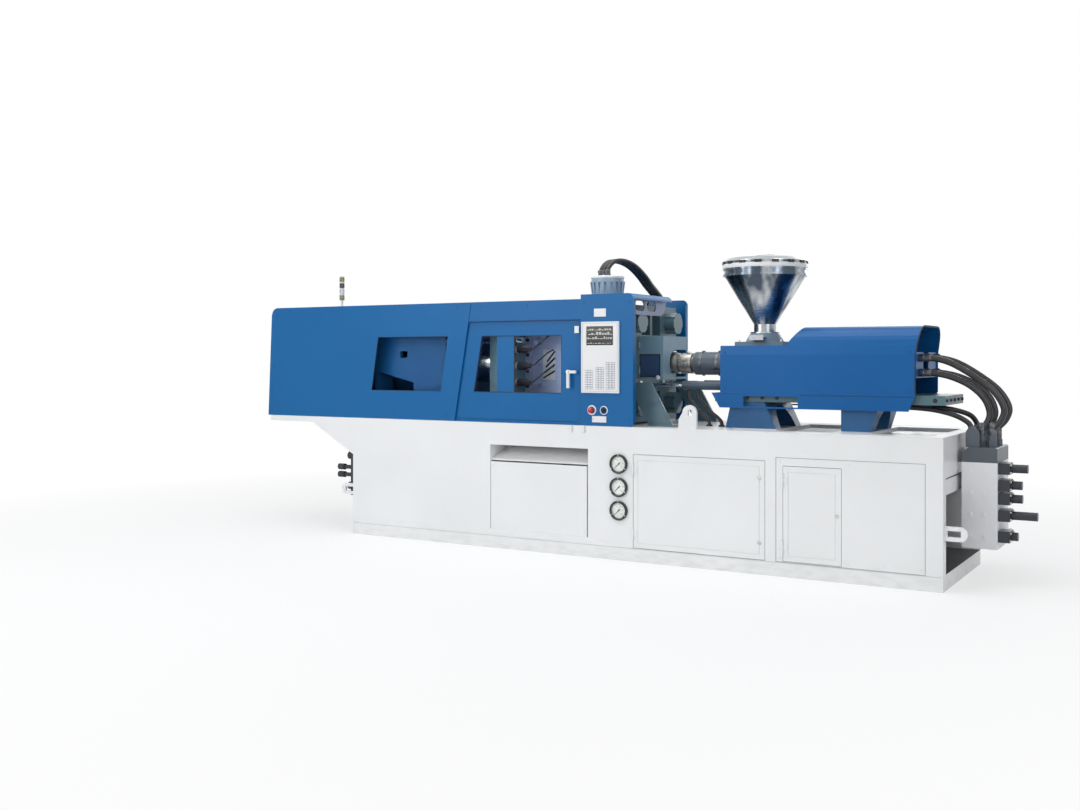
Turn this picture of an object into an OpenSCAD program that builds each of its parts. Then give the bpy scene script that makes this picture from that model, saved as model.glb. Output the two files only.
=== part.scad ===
// Injection moulding machine: clamp at the left, injection unit at the right.
// Millimetres. The origin is the middle of the footprint on the floor,
// +X runs along the machine to the injection end, +Y to the rear, +Z up.

/* [Base] */
// Length of the base
base_len = 4430; // [4300:10:4500]
// Width of the base
base_w = 1120; // [1110:5:1160]
// Height of the base top above the floor
base_h = 900; // [890:5:940]
// X of the injection end of the base
base_right = 2440; // [2430:5:2460]
// Height of the plinth
plinth_h = 90; // [80:1:95]
// Length of the clamp deck that overhangs the base
deck_overhang = 870; // [860:5:880]
// Depth of the clamp deck's edge beam
deck_h = 44; // [36:1:60]

/* [Chute] */
// X of the chute's left side
chute_x = -712; // [-730:1:-700]
// Width of the chute opening
chute_w = 805; // [790:5:830]
// Height of the chute opening
chute_h = 606; // [560:2:620]
// Height of the chute's lower cover
chute_cover_h = 484; // [440:2:500]

/* [Doors] */
// X of the side door's left edge
side_door_x = 437; // [430:1:445]
// Width of the side door
side_door_w = 924; // [900:2:940]
// Height of the side door
side_door_h = 628; // [600:2:640]
// X of the electrical cover's left edge
cabinet_x = 1433; // [1425:1:1440]
// Width of the electrical cover
cabinet_w = 905; // [895:1:910]
// Height of the electrical cover
cabinet_h = 650; // [630:2:660]
// Width of the electrical door
cabinet_door_w = 365; // [340:1:380]
// Height of the electrical door
cabinet_door_h = 590; // [560:2:600]
// Thickness of a base door
door_t = 14; // [10:1:18]
// Gap round a base door
door_gap = 3; // [2:0.5:4]
// Radius of a door hinge barrel
hinge_r = 7; // [6:0.5:8]
// Radius of a door hinge pin
hinge_pin_r = 3; // [2.5:0.25:4]

/* [Clamp] */
// Height of the machine axis above the base top
axis_rise = 426; // [420:2:440]
// Half width of a platen
platen_hw = 430; // [410:5:440]
// Height of a platen
platen_h = 820; // [800:5:830]
// X of the fixed platen's mould face
platen_x = 60; // [50:1:70]
// Thickness of the fixed platen
fixed_t = 240; // [220:2:250]
// Thickness of the moving platen
moving_t = 200; // [180:2:220]
// Thickness of the tail platen
tail_t = 300; // [280:5:320]
// Length of the closed mould
mould_len = 660; // [640:2:680]
// Half width of the mould
mould_hw = 230; // [215:1:238]
// Length of the moving mould half
moving_half_len = 250; // [240:2:260]
// Distance between the tail platen and the moving platen, mould closed
ram_show = 400; // [380:5:420]
// Opening stroke of the moving platen
clamp_stroke = 290; // [270:5:290]
// Radius of a tie bar
tie_r = 50; // [45:1:55]
// Tie bar offset from the axis, sideways
tie_y = 290; // [288:1:300]
// Tie bar offset from the axis, up and down
tie_z = 290; // [285:1:300]
// Radius of a tie bar nut
nut_r = 78; // [74:1:80]
// Thickness of a tie bar nut
nut_t = 80; // [70:1:85]
// Radius of the clamp ram
ram_r = 150; // [140:1:155]
// Wall of the main cylinder
cylinder_wall = 85; // [75:1:90]
// Length of the main cylinder behind the tail platen's mould-side face
cylinder_len = 1180; // [1150:5:1200]
// Radius of the safety bar
safety_r = 24; // [20:1:26]
// Radius of an ejector rod
ejector_r = 14; // [12:0.5:16]
// Ejector rod offset from the axis
ejector_y = 192; // [186:1:196]
// Radius of a moulding core
core_r = 13; // [11:0.5:14]
// Length of a moulding core
core_len = 120; // [100:2:130]

/* [Guard] */
// Height of the guard above the base top
guard_h = 869; // [860:1:900]
// Thickness of a folded guard panel
guard_t = 12; // [8:1:14]
// X of the guard's left end at the top
guard_left = -2847; // [-2860:1:-2840]
// Lean of the guard's left end over its height
guard_lean = 40; // [30:1:50]
// X of the slanted seam at the top
seam_x = -878; // [-890:1:-870]
// Lean of the slanted seam over the guard's height
seam_lean = 149; // [130:1:160]
// X of the left edge of the fixed platen cover
cover_x = 36; // [30:1:40]
// X of the right edge of the fixed platen cover
cover_right = 437; // [430:1:445]
// Height of the fascia above the gate
fascia_h = 144; // [130:1:150]
// Thickness of a sliding gate
gate_t = 20; // [16:1:24]
// Thickness of the window glazing
glass_t = 5; // [4:0.5:6]
// Corner radius of the guard
guard_r = 60; // [40:1:70]

/* [Controls] */
// X of the control panel's left edge
panel_x = 48; // [44:1:56]
// Width of the control panel
panel_w = 288; // [270:1:300]
// Height of the control panel
panel_h = 485; // [470:1:500]
// Height of the control panel's foot above the base top
panel_rise = 226; // [220:1:240]
// Depth of the control panel
panel_t = 16; // [12:1:20]
// Radius of the stop button
stop_r = 20; // [17:0.5:22]
// Outer radius of a pressure gauge
gauge_r = 66; // [60:1:70]
// X of the pressure gauges
gauge_x = 331; // [320:1:340]
// Height of the lowest gauge
gauge_z = 336; // [330:1:345]
// Pitch of the pressure gauges
gauge_pitch = 157; // [150:1:160]

/* [Injection] */
// Radius of the screw
screw_r = 26; // [22:0.5:30]
// Outer radius of the barrel
barrel_r = 60; // [54:1:64]
// X of the front end of the barrel
barrel_x = 420; // [415:1:440]
// Radius of the barrel cover
barrel_cover_r = 80; // [78:1:86]
// X of the front end of the barrel cover
barrel_cover_x = 655; // [640:1:670]
// X of the front face of the feed housing
feed_x = 1000; // [995:1:1010]
// Length of the feed housing
feed_len = 330; // [320:1:340]
// Half width of the feed housing
feed_hw = 200; // [190:1:210]
// Radius of an injection cylinder
inject_r = 62; // [56:1:66]
// Offset of an injection cylinder from the axis
inject_y = 140; // [132:1:145]
// Length of an injection cylinder
inject_len = 310; // [300:2:320]
// Thickness of the drive plate
drive_t = 100; // [80:1:110]
// Length of the hydraulic motor
motor_len = 210; // [190:2:220]
// Carriage stroke
carriage_stroke = 300; // [260:5:300]
// Radius of a carriage cylinder
carriage_r = 30; // [26:1:34]
// X of the left end of the slide bed
bed_x = 900; // [890:1:910]
// X of the right end of the slide bed
bed_right = 2390; // [2380:1:2400]
// Thickness of the slide bed
bed_t = 58; // [50:1:62]
// Height of the slide bed's top above the base top
bed_rise = 233; // [230:1:240]
// Half width of the slide bed
bed_hw = 262; // [250:1:270]
// Half width of the injection cover
hood_hw = 300; // [296:1:310]
// X of the left end of the injection cover
hood_x = 952; // [945:1:955]
// X of the right end of the injection cover
hood_right = 2220; // [2200:1:2240]
// X where the hood's slanted front starts
hood_step_x = 1400; // [1390:1:1410]
// Thickness of the injection cover's sheet
hood_t = 6; // [4:0.5:8]

/* [Hopper] */
// X of the hopper's axis
hopper_x = 1154; // [1150:1:1160]
// Radius of the hopper
hopper_r = 288; // [270:1:300]
// Height of the hopper's cone
cone_h = 330; // [300:2:340]
// Height of the hopper's straight band
band_h = 90; // [80:1:100]
// Radius of the hopper's neck
neck_r = 74; // [68:1:78]
// Wall of the hopper
hopper_wall = 3; // [2:0.5:4]
// Radius of the material passage
throat_r = 42; // [36:1:46]

/* [Manifold] */
// X of the manifold's left face
manifold_x = 2470; // [2465:1:2480]
// Length of the manifold along the machine
manifold_len = 204; // [190:1:210]
// Height of the manifold block
manifold_h = 518; // [500:2:530]
// Height of the manifold's foot above the floor
manifold_z = 217; // [210:1:225]
// Half width of the manifold
manifold_hw = 190; // [180:1:200]
// Height of the hose header on the manifold
header_h = 90; // [80:1:100]
// Radius of a hydraulic hose
hose_r = 19; // [16:0.5:21]

/* [Hidden] */

// Clearances: gap between moving faces, and the radial play of a running fit
gap = 0.3;
play = 0.05;
eps = 1;

hw = base_w / 2;
base_left = base_right - base_len;
deck_left = base_left - deck_overhang;
axis_z = base_h + axis_rise;
fixed_back = platen_x + fixed_t;
mould_x = platen_x - mould_len;
half_x = mould_x + moving_half_len;
moving_x = mould_x - moving_t;
tail_face = moving_x - ram_show;
tail_x = tail_face - tail_t;
cylinder_r = ram_r + cylinder_wall;
ram_back = tail_face - cylinder_len + clamp_stroke + 70;
guard_top = base_h + guard_h;
guard_front = -hw;
gate_y = guard_front + guard_t + 3;
gate_top = guard_top - fascia_h;
window_top = base_h + 625;
window_foot = base_h + 215;
drive_x = feed_x + feed_len + inject_len + 60;
motor_x = drive_x + drive_t;
bed_top = base_h + bed_rise;
hood_low = base_h + 545;
feed_top = hood_low - hood_t;
throat_top = hood_low + 28;
neck_z = throat_top + 58;
cone_z = neck_z + 60;
band_z = cone_z + cone_h;
cabinet_door_x = cabinet_x + 45;
cabinet_top = plinth_h + 2 + max(cabinet_h, cabinet_door_h + 40);
manifold_top = manifold_z + manifold_h;
header_top = manifold_top + header_h;
panel_z = base_h + panel_rise;
stop_z = base_h + 108;
stop_x = panel_x + 76;
key_x = panel_x + 169;
drum_x = cover_x + 124;
cover_top = guard_top + 31;

// X of the slanted seam at height z
function seam(z) = seam_x - (guard_top - z) * seam_lean / guard_h;
// X of the guard's left end at height z
function left_end(z) = guard_left - (guard_top - z) * guard_lean / guard_h;
// Points along an arc
function arc(c, r, a, b, n = 8) =
    [for (i = [0 : n]) c + r * [cos(a + (b - a) * i / n), sin(a + (b - a) * i / n)]];

// Block between two corners
module slab(x, y, z) {
    translate([x[0], y[0], z[0]]) cube([x[1] - x[0], y[1] - y[0], z[1] - z[0]]);
}
// Outline in X and Z, cut from plate that lies between y0 and y1
module plate_xz(points, y0, y1) {
    translate([0, y1, 0]) rotate([90, 0, 0]) linear_extrude(y1 - y0) polygon(points);
}
// Outline in Y and Z, extruded along X from x0 to x1
module plate_yz(points, x0, x1) {
    translate([x0, 0, 0]) rotate([90, 0, 90]) linear_extrude(x1 - x0) polygon(points);
}
// Cylinder along X
module rod_x(x0, x1, y, z, r) {
    translate([x0, y, z]) rotate([0, 90, 0]) cylinder(r = r, h = x1 - x0, $fn = 64);
}
// Cylinder along Y
module rod_y(x, y0, y1, z, r) {
    translate([x, y1, z]) rotate([90, 0, 0]) cylinder(r = r, h = y1 - y0, $fn = 48);
}
// The same thing at the front and at the rear
module both_sides() {
    children();
    mirror([0, 1, 0]) children();
}
// The same thing at the four tie bars
module at_ties() {
    for (sy = [-1, 1], sz = [-1, 1])
        translate([0, sy * tie_y, axis_z + sz * tie_z]) children();
}

// Welded base with its bays, wells, clamp deck, rails and lifting lugs
well_depth = 25;
bay_depth = 300;
bay_wall = 12;
bed_post_x = [960, 1740];
pump_bay_top = 560;
pump_bay_x = 1290;
rail_h = 12;
module lifting_lug(x, y) {
    outline = concat([[0, 0]], [[127, 0]], arc([127 - 50, 106], 50, 0, 180), [[0, 60]]);
    translate([x, 0, base_h]) difference() {
        plate_xz(outline, y, y + 20);
        slab([66, 92], [y - eps, y + 20 + eps], [84, 124]);
    }
}
module end_loop(x, side) {
    difference() {
        union() {
            slab([min(x, x + side * 90), max(x, x + side * 90)], [-hw + 20, -hw + 40],
                [300, 386]);
            rod_y(x + side * 90, -hw + 20, -hw + 40, 343, 43);
        }
        slab([min(x + side * 18, x + side * 95), max(x + side * 18, x + side * 95)],
            [-hw + 19, -hw + 41], [325, 361]);
    }
}
module door_pin(x, z, h) {
    for (k = [0.15, 0.85]) {
        translate([x, -hw - hinge_r, z + k * h - 40]) cylinder(r = hinge_pin_r, h = 80, $fn = 32);
        for (s = [-1, 1])
            translate([x, -hw - hinge_r, z + k * h + s * 30 - 10]) {
                cylinder(r = hinge_r, h = 20, $fn = 32);
                slab([-26, 0], [hinge_r - 4, hinge_r], [0, 20]);
            }
    }
}
module base_frame() {
    color("whitesmoke") {
        difference() {
            slab([base_left, base_right], [-hw, hw], [0, base_h]);
            // groove between the plinth and the body
            both_sides() slab([base_left - eps, base_right + eps], [-hw - eps, -hw + 5],
                [plinth_h - 4, plinth_h]);
            // chute through the base, and its shaft up to the mould
            slab([chute_x, chute_x + chute_w], [-hw - eps, hw + eps],
                [136, 136 + chute_h]);
            slab([mould_x + 10, platen_x - 10], [-280, 280], [136 + chute_h - eps, base_h + eps]);
            // side bay and its door rebate
            slab([side_door_x, side_door_x + side_door_w], [-hw - eps, -hw + door_t],
                [plinth_h + 2, plinth_h + 2 + side_door_h]);
            slab([side_door_x + 30, side_door_x + side_door_w - 30],
                [-hw, -hw + bay_depth], [plinth_h + 30, plinth_h + side_door_h - 26]);
            // electrical bay and its cover rebate
            slab([cabinet_x, cabinet_x + cabinet_w], [-hw - eps, -hw + door_t],
                [plinth_h + 2, cabinet_top]);
            slab([cabinet_x + 20, cabinet_x + cabinet_w - 20], [-hw, -hw + bay_depth],
                [plinth_h + 20, cabinet_top - 18]);
            // pump bay, open at the injection end
            slab([pump_bay_x, base_right + eps], [-hw + bay_depth + bay_wall, hw - bay_wall],
                [plinth_h + 4, pump_bay_top]);
            slab([cabinet_x + cabinet_w + 10, base_right + eps], [-hw + 80, 0],
                [plinth_h + 4, pump_bay_top]);
            slab([base_right - 60, base_right + eps], [-hw + 80, hw - 80], [650, 660]);
            // wells in the top
            slab([bed_post_x[0] + 380, bed_post_x[1]], [-400, 400],
                [base_h - well_depth, base_h + eps]);
            slab([1040, bed_post_x[1]], [-400, -290], [base_h - well_depth, base_h + eps]);
            slab([1945, base_right - 85], [-400, 400], [base_h - well_depth, base_h + eps]);
        }
        // clamp deck that overhangs the base
        slab([deck_left, base_left], [-hw, hw], [base_h - deck_h, base_h]);
        for (y = [-hw, hw - 60])
            plate_xz([[base_left - 420, base_h - deck_h], [base_left, base_h - deck_h],
                [base_left, base_h - deck_h - 240]], y, y + 60);
        // rails that the platens stand on
        for (s = [-1, 1])
            slab([tail_x - 60, fixed_back], [s * 360 - 50, s * 360 + 50],
                [base_h, base_h + rail_h]);
        both_sides() lifting_lug(759, -hw + 20);
        end_loop(base_right, 1);
        end_loop(base_left, -1);
        door_pin(side_door_x + door_gap - hinge_pin_r, plinth_h + 2 + door_gap,
            side_door_h - 2 * door_gap);
    }
}

// Plates that close the chute and the electrical bay
module base_covers() {
    color("gainsboro") {
        both_sides() slab([chute_x + 2, chute_x + chute_w - 14],
            [-hw + 8, -hw + 20], [136, 136 + chute_cover_h]);
        difference() {
            slab([cabinet_x + gap, cabinet_x + cabinet_w - gap], [-hw, -hw + door_t],
                [plinth_h + 2, cabinet_top - gap]);
            slab([cabinet_door_x - door_gap, cabinet_door_x + cabinet_door_w + door_gap],
                [-hw - eps, -hw + door_t + eps],
                [plinth_h + 10 - door_gap, plinth_h + 10 + cabinet_door_h + door_gap]);
        }
        door_pin(cabinet_door_x - hinge_pin_r, plinth_h + 10, cabinet_door_h);
    }
}

// Door leaf with a pressed border, folded returns and two hinge barrels
module door_leaf(x, z, w, h) {
    border = 32;
    difference() {
        slab([x, x + w], [-hw, -hw + door_t - 2], [z, z + h]);
        // shallow groove round the raised middle of the leaf
        difference() {
            slab([x + border, x + w - border], [-hw - eps, -hw + 3],
                [z + border, z + h - border]);
            slab([x + border + 5, x + w - border - 5], [-hw - 2 * eps, -hw + 4],
                [z + border + 5, z + h - border - 5]);
        }
        for (k = [0.15, 0.85])
            slab([x - eps, x + 3], [-hw - eps, -hw + 2], [z + k * h - 41, z + k * h + 41]);
    }
    for (k = [0.15, 0.85]) difference() {
        union() {
            translate([x - hinge_pin_r, -hw - hinge_r, z + k * h - 19.5])
                cylinder(r = hinge_r, h = 39, $fn = 32);
            slab([x - hinge_pin_r, x + 26], [-hw - 4, -hw], [z + k * h - 19.5, z + k * h + 19.5]);
        }
        translate([x - hinge_pin_r, -hw - hinge_r, z + k * h - 20])
            cylinder(r = hinge_pin_r + play, h = 40, $fn = 32);
    }
}
module side_door() {
    color("whitesmoke") door_leaf(side_door_x + door_gap, plinth_h + 2 + door_gap,
        side_door_w - 2 * door_gap, side_door_h - 2 * door_gap);
}
module cabinet_door() {
    color("whitesmoke") door_leaf(cabinet_door_x, plinth_h + 10, cabinet_door_w,
        cabinet_door_h);
}

// Mounting plate with rails, contactors and drives in the electrical bay
module cabinet_plate() {
    back = -hw + bay_depth;
    left = cabinet_x + 60;
    color("silver") {
        slab([left, left + 760], [back - 4, back], [plinth_h + 60, plinth_h + 600]);
        for (row = [0 : 2]) {
            z = plinth_h + 110 + row * 170;
            slab([left + 20, left + 740], [back - 12, back - 4], [z + 40, z + 76]);
            for (i = [0 : 6])
                slab([left + 30 + i * 100, left + 110 + i * 100], [back - 90, back - 12],
                    [z, z + 110]);
        }
    }
}

// Electric motor and pump under the injection unit
module pump_motor() {
    y = 120;
    z = plinth_h + 4 + 190;
    color("slategray") {
        difference() {
            rod_x(1500, 1950, y, z, 140);
            for (a = [0 : 15 : 345])
                translate([1520, y, z]) rotate([a, 0, 0]) slab([0, 380], [-5, 5], [126, 150]);
        }
        rod_x(1950, 2050, y, z, 120);
        rod_x(2050, 2250, y, z, 80);
        slab([2120, 2200], [y - 60, y + 60], [z - 70, z + 110]);
        for (x = [1540, 1860])
            slab([x, x + 60], [y - 150, y + 150], [plinth_h + 4, z - 100]);
        slab([2080, 2130], [y - 60, y + 60], [plinth_h + 4, z - 60]);
    }
}

// Three pressure gauges set in the front of the base
module gauge_cases() {
    color("black") for (i = [0 : 2])
        translate([gauge_x, -hw, gauge_z + i * gauge_pitch]) rotate([90, 0, 0]) {
            difference() {
                cylinder(r = gauge_r, h = 14, $fn = 64);
                translate([0, 0, 3]) cylinder(r = gauge_r - 14, h = 14, $fn = 64);
            }
            cylinder(r = 2.5, h = 8, $fn = 24);
        }
}
module gauge_needle(i) {
    color("black") translate([gauge_x, -hw - 5, gauge_z + i * gauge_pitch])
        rotate([90, 0, 0]) rotate([0, 0, 225]) difference() {
            union() {
                cylinder(r = 5, h = 2, $fn = 24);
                linear_extrude(2) polygon([[-14, -2.5], [44, -0.8], [44, 0.8], [-14, 2.5]]);
            }
            translate([0, 0, -eps]) cylinder(r = 2.5 + play, h = 4, $fn = 24);
        }
}

// Platen outline with the tie bar holes
module platen_block(x, t, foot) {
    difference() {
        slab([x, x + t], [-platen_hw, platen_hw], [foot, axis_z + platen_h / 2]);
        at_ties() rod_x(x - eps, x + t + eps, 0, 0, tie_r + play);
    }
}
module fixed_platen() {
    color("cadetblue") difference() {
        platen_block(platen_x, fixed_t, base_h + rail_h);
        // nozzle well and the seat of the locating ring
        rod_x(platen_x + 30, fixed_back + eps, 0, axis_z, 95);
        rod_x(platen_x - eps, platen_x + 31, 0, axis_z, 62);
        // cast pockets in the injection side
        for (y = [-150, 20])
            slab([fixed_back - 110, fixed_back + eps], [y, y + 130],
                [axis_z + 200, axis_z + 360]);
        for (y = [-150, 20])
            slab([fixed_back - 110, fixed_back + eps], [y, y + 130],
                [axis_z - 360, axis_z - 200]);
    }
}
module moving_platen() {
    color("cadetblue") difference() {
        union() {
            platen_block(moving_x, moving_t, base_h + rail_h + gap);
            rod_x(moving_x - 40, moving_x + eps, 0, axis_z, ram_r + 30);
            at_ties() rod_x(moving_x - 30, moving_x + eps, 0, 0, tie_r + 14);
        }
        at_ties() rod_x(moving_x - 40, moving_x + moving_t, 0, 0, tie_r + play);
        for (s = [-1, 1])
            rod_x(moving_x - 50, moving_x + moving_t + eps, s * ejector_y, axis_z,
                ejector_r + play);
        safety_hole(moving_x, moving_t);
        rod_x(moving_x - 41, moving_x - 20, 0, axis_z, ram_r);
    }
}
safety_y = -385;
safety_z = axis_z + 165;
module safety_hole(x, t) {
    rod_x(x - eps, x + t + eps, safety_y, safety_z, safety_r + gap);
}
module tail_platen() {
    rib_foot = axis_z - 150;
    color("steelblue") {
        difference() {
            platen_block(tail_x, tail_t, base_h + rail_h);
            rod_x(tail_x - eps, tail_face + eps, 0, axis_z, cylinder_r);
            rod_x(tail_face - 60, tail_face + eps, safety_y, safety_z, safety_r);
        }
        // ribbed side cheeks with a sloping lower edge and a lens-shaped hole
        both_sides() difference() {
            plate_xz([[tail_x, rib_foot], [tail_x, axis_z + platen_h / 2 - 10],
                [tail_x - 380, axis_z + platen_h / 2 - 60], [tail_x - 380, axis_z - 60]],
                -platen_hw, -platen_hw + 36);
            translate([tail_x - 210, 0, axis_z + 300]) intersection() {
                rod_y(0, -platen_hw - eps, -platen_hw + 37, -60, 110);
                rod_y(0, -platen_hw - eps, -platen_hw + 37, 60, 110);
            }
            slab([tail_x - 130, tail_x - 60], [-platen_hw - eps, -platen_hw + 37],
                [axis_z + 40, axis_z + 90]);
        }
        slab([tail_x - 380, tail_x - 350], [-platen_hw, platen_hw], [base_h, axis_z - cylinder_r]);
        both_sides() slab([tail_x - 380, tail_x - 350], [-platen_hw, -cylinder_r],
            [base_h, axis_z + platen_h / 2 - 60]);
    }
}
module tie_bars() {
    color("silver") at_ties() {
        rod_x(tail_x - nut_t, fixed_back + nut_t, 0, 0, tie_r);
        for (x = [tail_x - nut_t, fixed_back]) difference() {
            rod_x(x, x + nut_t, 0, 0, nut_r);
            for (a = [0 : 60 : 300]) rotate([a, 0, 0])
                slab([x - eps, x + nut_t + eps], [-8, 8], [nut_r - 8, nut_r + eps]);
        }
    }
}
module safety_bar() {
    color("silver") {
        rod_x(tail_face - 60, mould_x + 60, safety_y, safety_z, safety_r);
        rod_x(tail_face, tail_face + 30, safety_y, safety_z, safety_r + 14);
    }
}
module main_cylinder() {
    back = tail_face - cylinder_len;
    color("steelblue") difference() {
        union() {
            rod_x(back, tail_face, 0, axis_z, cylinder_r);
            rod_x(back - 40, back, 0, axis_z, cylinder_r + 25);
            translate([back + 120, 0, axis_z]) cylinder(r = 90, h = 330, $fn = 48);
            translate([back + 120, 0, axis_z + 330]) cylinder(r = 120, h = 40, $fn = 48);
            slab([back + 40, back + 100], [-200, 200], [base_h, axis_z]);
        }
        rod_x(back + 50, tail_face + eps, 0, axis_z, ram_r + play);
        translate([back + 120, 0, axis_z]) cylinder(r = 50, h = 340, $fn = 48);
    }
}
module clamp_ram() {
    color("lightgray") rod_x(ram_back, moving_x - 20, 0, axis_z, ram_r);
}

// Mould halves: a core plate and a cavity plate
module core_grid() {
    for (y = [-110, 0, 110], z = [-150, -50, 50, 150]) translate([0, y, z]) children();
}
module mould_moving_half() {
    color("lightslategray") {
        difference() {
            union() {
                slab([mould_x, mould_x + 45], [-mould_hw - 30, mould_hw + 30],
                    [axis_z - mould_hw, axis_z + mould_hw]);
                slab([mould_x + 45, half_x], [-mould_hw, mould_hw],
                    [axis_z - mould_hw, axis_z + mould_hw]);
            }
            for (s = [-1, 1])
                rod_x(mould_x - eps, mould_x + 110, s * ejector_y, axis_z, ejector_r + 1);
        }
        translate([half_x - eps, 0, axis_z]) core_grid() {
            rod_x(0, core_len - core_r, 0, 0, core_r);
            translate([core_len - core_r, 0, 0]) sphere(r = core_r, $fn = 32);
        }
        // coolant fittings on the operator's side
        for (z = [-150, 0, 150])
            rod_y(mould_x + 110, -mould_hw - 60, -mould_hw, axis_z + z, 16);
    }
}
module mould_fixed_half() {
    color("lightslategray") difference() {
        union() {
            slab([half_x + gap, platen_x - 45], [-mould_hw, mould_hw],
                [axis_z - mould_hw, axis_z + mould_hw]);
            slab([platen_x - 45, platen_x], [-mould_hw - 30, mould_hw + 30],
                [axis_z - mould_hw, axis_z + mould_hw]);
            rod_x(platen_x, platen_x + 20, 0, axis_z, 60);
        }
        translate([half_x, 0, axis_z]) core_grid() rod_x(0, core_len + 6, 0, 0, core_r + 3);
        rod_x(half_x, platen_x + 30, 0, axis_z, 4);
        rod_x(platen_x + 12, platen_x + 21, 0, axis_z, 20);
    }
}
module ejector_plate() {
    color("darkgray") {
        difference() {
            slab([moving_x - 100, moving_x - 75], [-ejector_y - 40, ejector_y + 40],
                [axis_z - 230, axis_z + 230]);
            rod_x(moving_x - 101, moving_x - 74, 0, axis_z, ram_r + 34);
        }
        for (s = [-1, 1]) rod_x(moving_x - 76, mould_x + 12, s * ejector_y, axis_z, ejector_r);
    }
}
module platen_braces() {
    color("cadetblue") both_sides() {
        plate_xz([[fixed_back, axis_z - 130], [fixed_back + 190, axis_z - 130],
            [fixed_back + 355, base_h], [fixed_back + 178, base_h]], -392, -376);
        slab([fixed_back, fixed_back + 12], [-410, -330], [axis_z - 180, axis_z - 130]);
        slab([fixed_back + 170, fixed_back + 363], [-410, -340], [base_h, base_h + 10]);
    }
    // hinge lugs and pins of the purge guard
    color("cadetblue") for (z = [40, 220]) {
        purge_knuckle(z - 15, z + 55, hinge_pin_r);
        for (low = [z - 15, z + 40.5]) {
            purge_knuckle(low, low + 14.5, 7);
            slab([fixed_back, purge_pin[0]], [purge_pin[1] - 7, -purge_hw - gap],
                [purge_foot + low, purge_foot + low + 14.5]);
        }
    }
}

// Guard panels: one folded sheet with the clamp side, the fascia and a top return
window_left = [-1744, -1084];
window_shift = -65;
function side_outline() = concat(
    [[left_end(base_h), base_h], [left_end(guard_top - guard_r), guard_top - guard_r]],
    arc([guard_left + guard_r, guard_top - guard_r], guard_r, 170, 90),
    [[seam_x, guard_top], [seam(base_h), base_h]]);
function side_window() = [[window_left[0], window_top], [window_left[1], window_top],
    [window_left[1] + window_shift, window_foot], [window_left[0] + window_shift, window_foot]];
function gate_window(edge) = [[seam(window_top) + 124, window_top], [edge, window_top],
    [edge, window_foot], [seam(window_foot) + 124, window_foot]];
gate_window_edge = cover_x - 159;
module guard_side() {
    back = -hw + guard_t;
    difference() {
        plate_xz(side_outline(), -hw, back);
        plate_xz(side_window(), -hw - eps, back + eps);
    }
    // fascia above the gate, joined to the clamp side by the top return
    plate_xz([[seam(gate_top) + 4, gate_top], [seam_x + 4, guard_top], [cover_x, guard_top],
        [cover_x, gate_top]], -hw, back);
    slab([seam_x - 26, cover_x], [-hw, -hw + 46], [guard_top - guard_t, guard_top]);
    // lower gate rail, a channel on the edge of the base
    difference() {
        slab([left_end(base_h) + 60, cover_x], [gate_y - 1, gate_y + gate_t + 1],
            [base_h, base_h + 20]);
        slab([left_end(base_h) + 59, cover_x + eps],
            [gate_y + gate_t / 2 - 5, gate_y + gate_t / 2 + 5], [base_h + 5, base_h + 21]);
    }
}
module front_guard() {
    color("steelblue") guard_side();
}
module rear_guard() {
    color("steelblue") mirror([0, 1, 0]) guard_side();
}

// Roof and left end of the clamp guard, one bent sheet
module clamp_roof() {
    function shell(t) = concat(
        [[left_end(base_h) + t, base_h], [left_end(guard_top - guard_r) + t, guard_top - guard_r]],
        arc([guard_left + guard_r, guard_top - guard_r], guard_r - t, 170, 90),
        [[seam_x - 26, guard_top - t]]);
    outline = concat(shell(0), [[seam_x - 26, guard_top - guard_t]]);
    color("steelblue") {
        translate([0, hw - guard_t, 0]) rotate([90, 0, 0]) linear_extrude(2 * (hw - guard_t))
            difference() {
                polygon(concat(outline, [[seam_x - 26, base_h]]));
                polygon(concat(shell(guard_t), [[seam_x - 20, guard_top - guard_t],
                    [seam_x - 20, base_h - eps], [left_end(base_h) + guard_t, base_h - eps]]));
            }
        // cross member that carries the gate rails, above the moving platen
        slab([seam_x - 86, seam_x - 26], [-hw + 46, hw - 46], [guard_top - 28, guard_top - guard_t]);
    }
}

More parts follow.
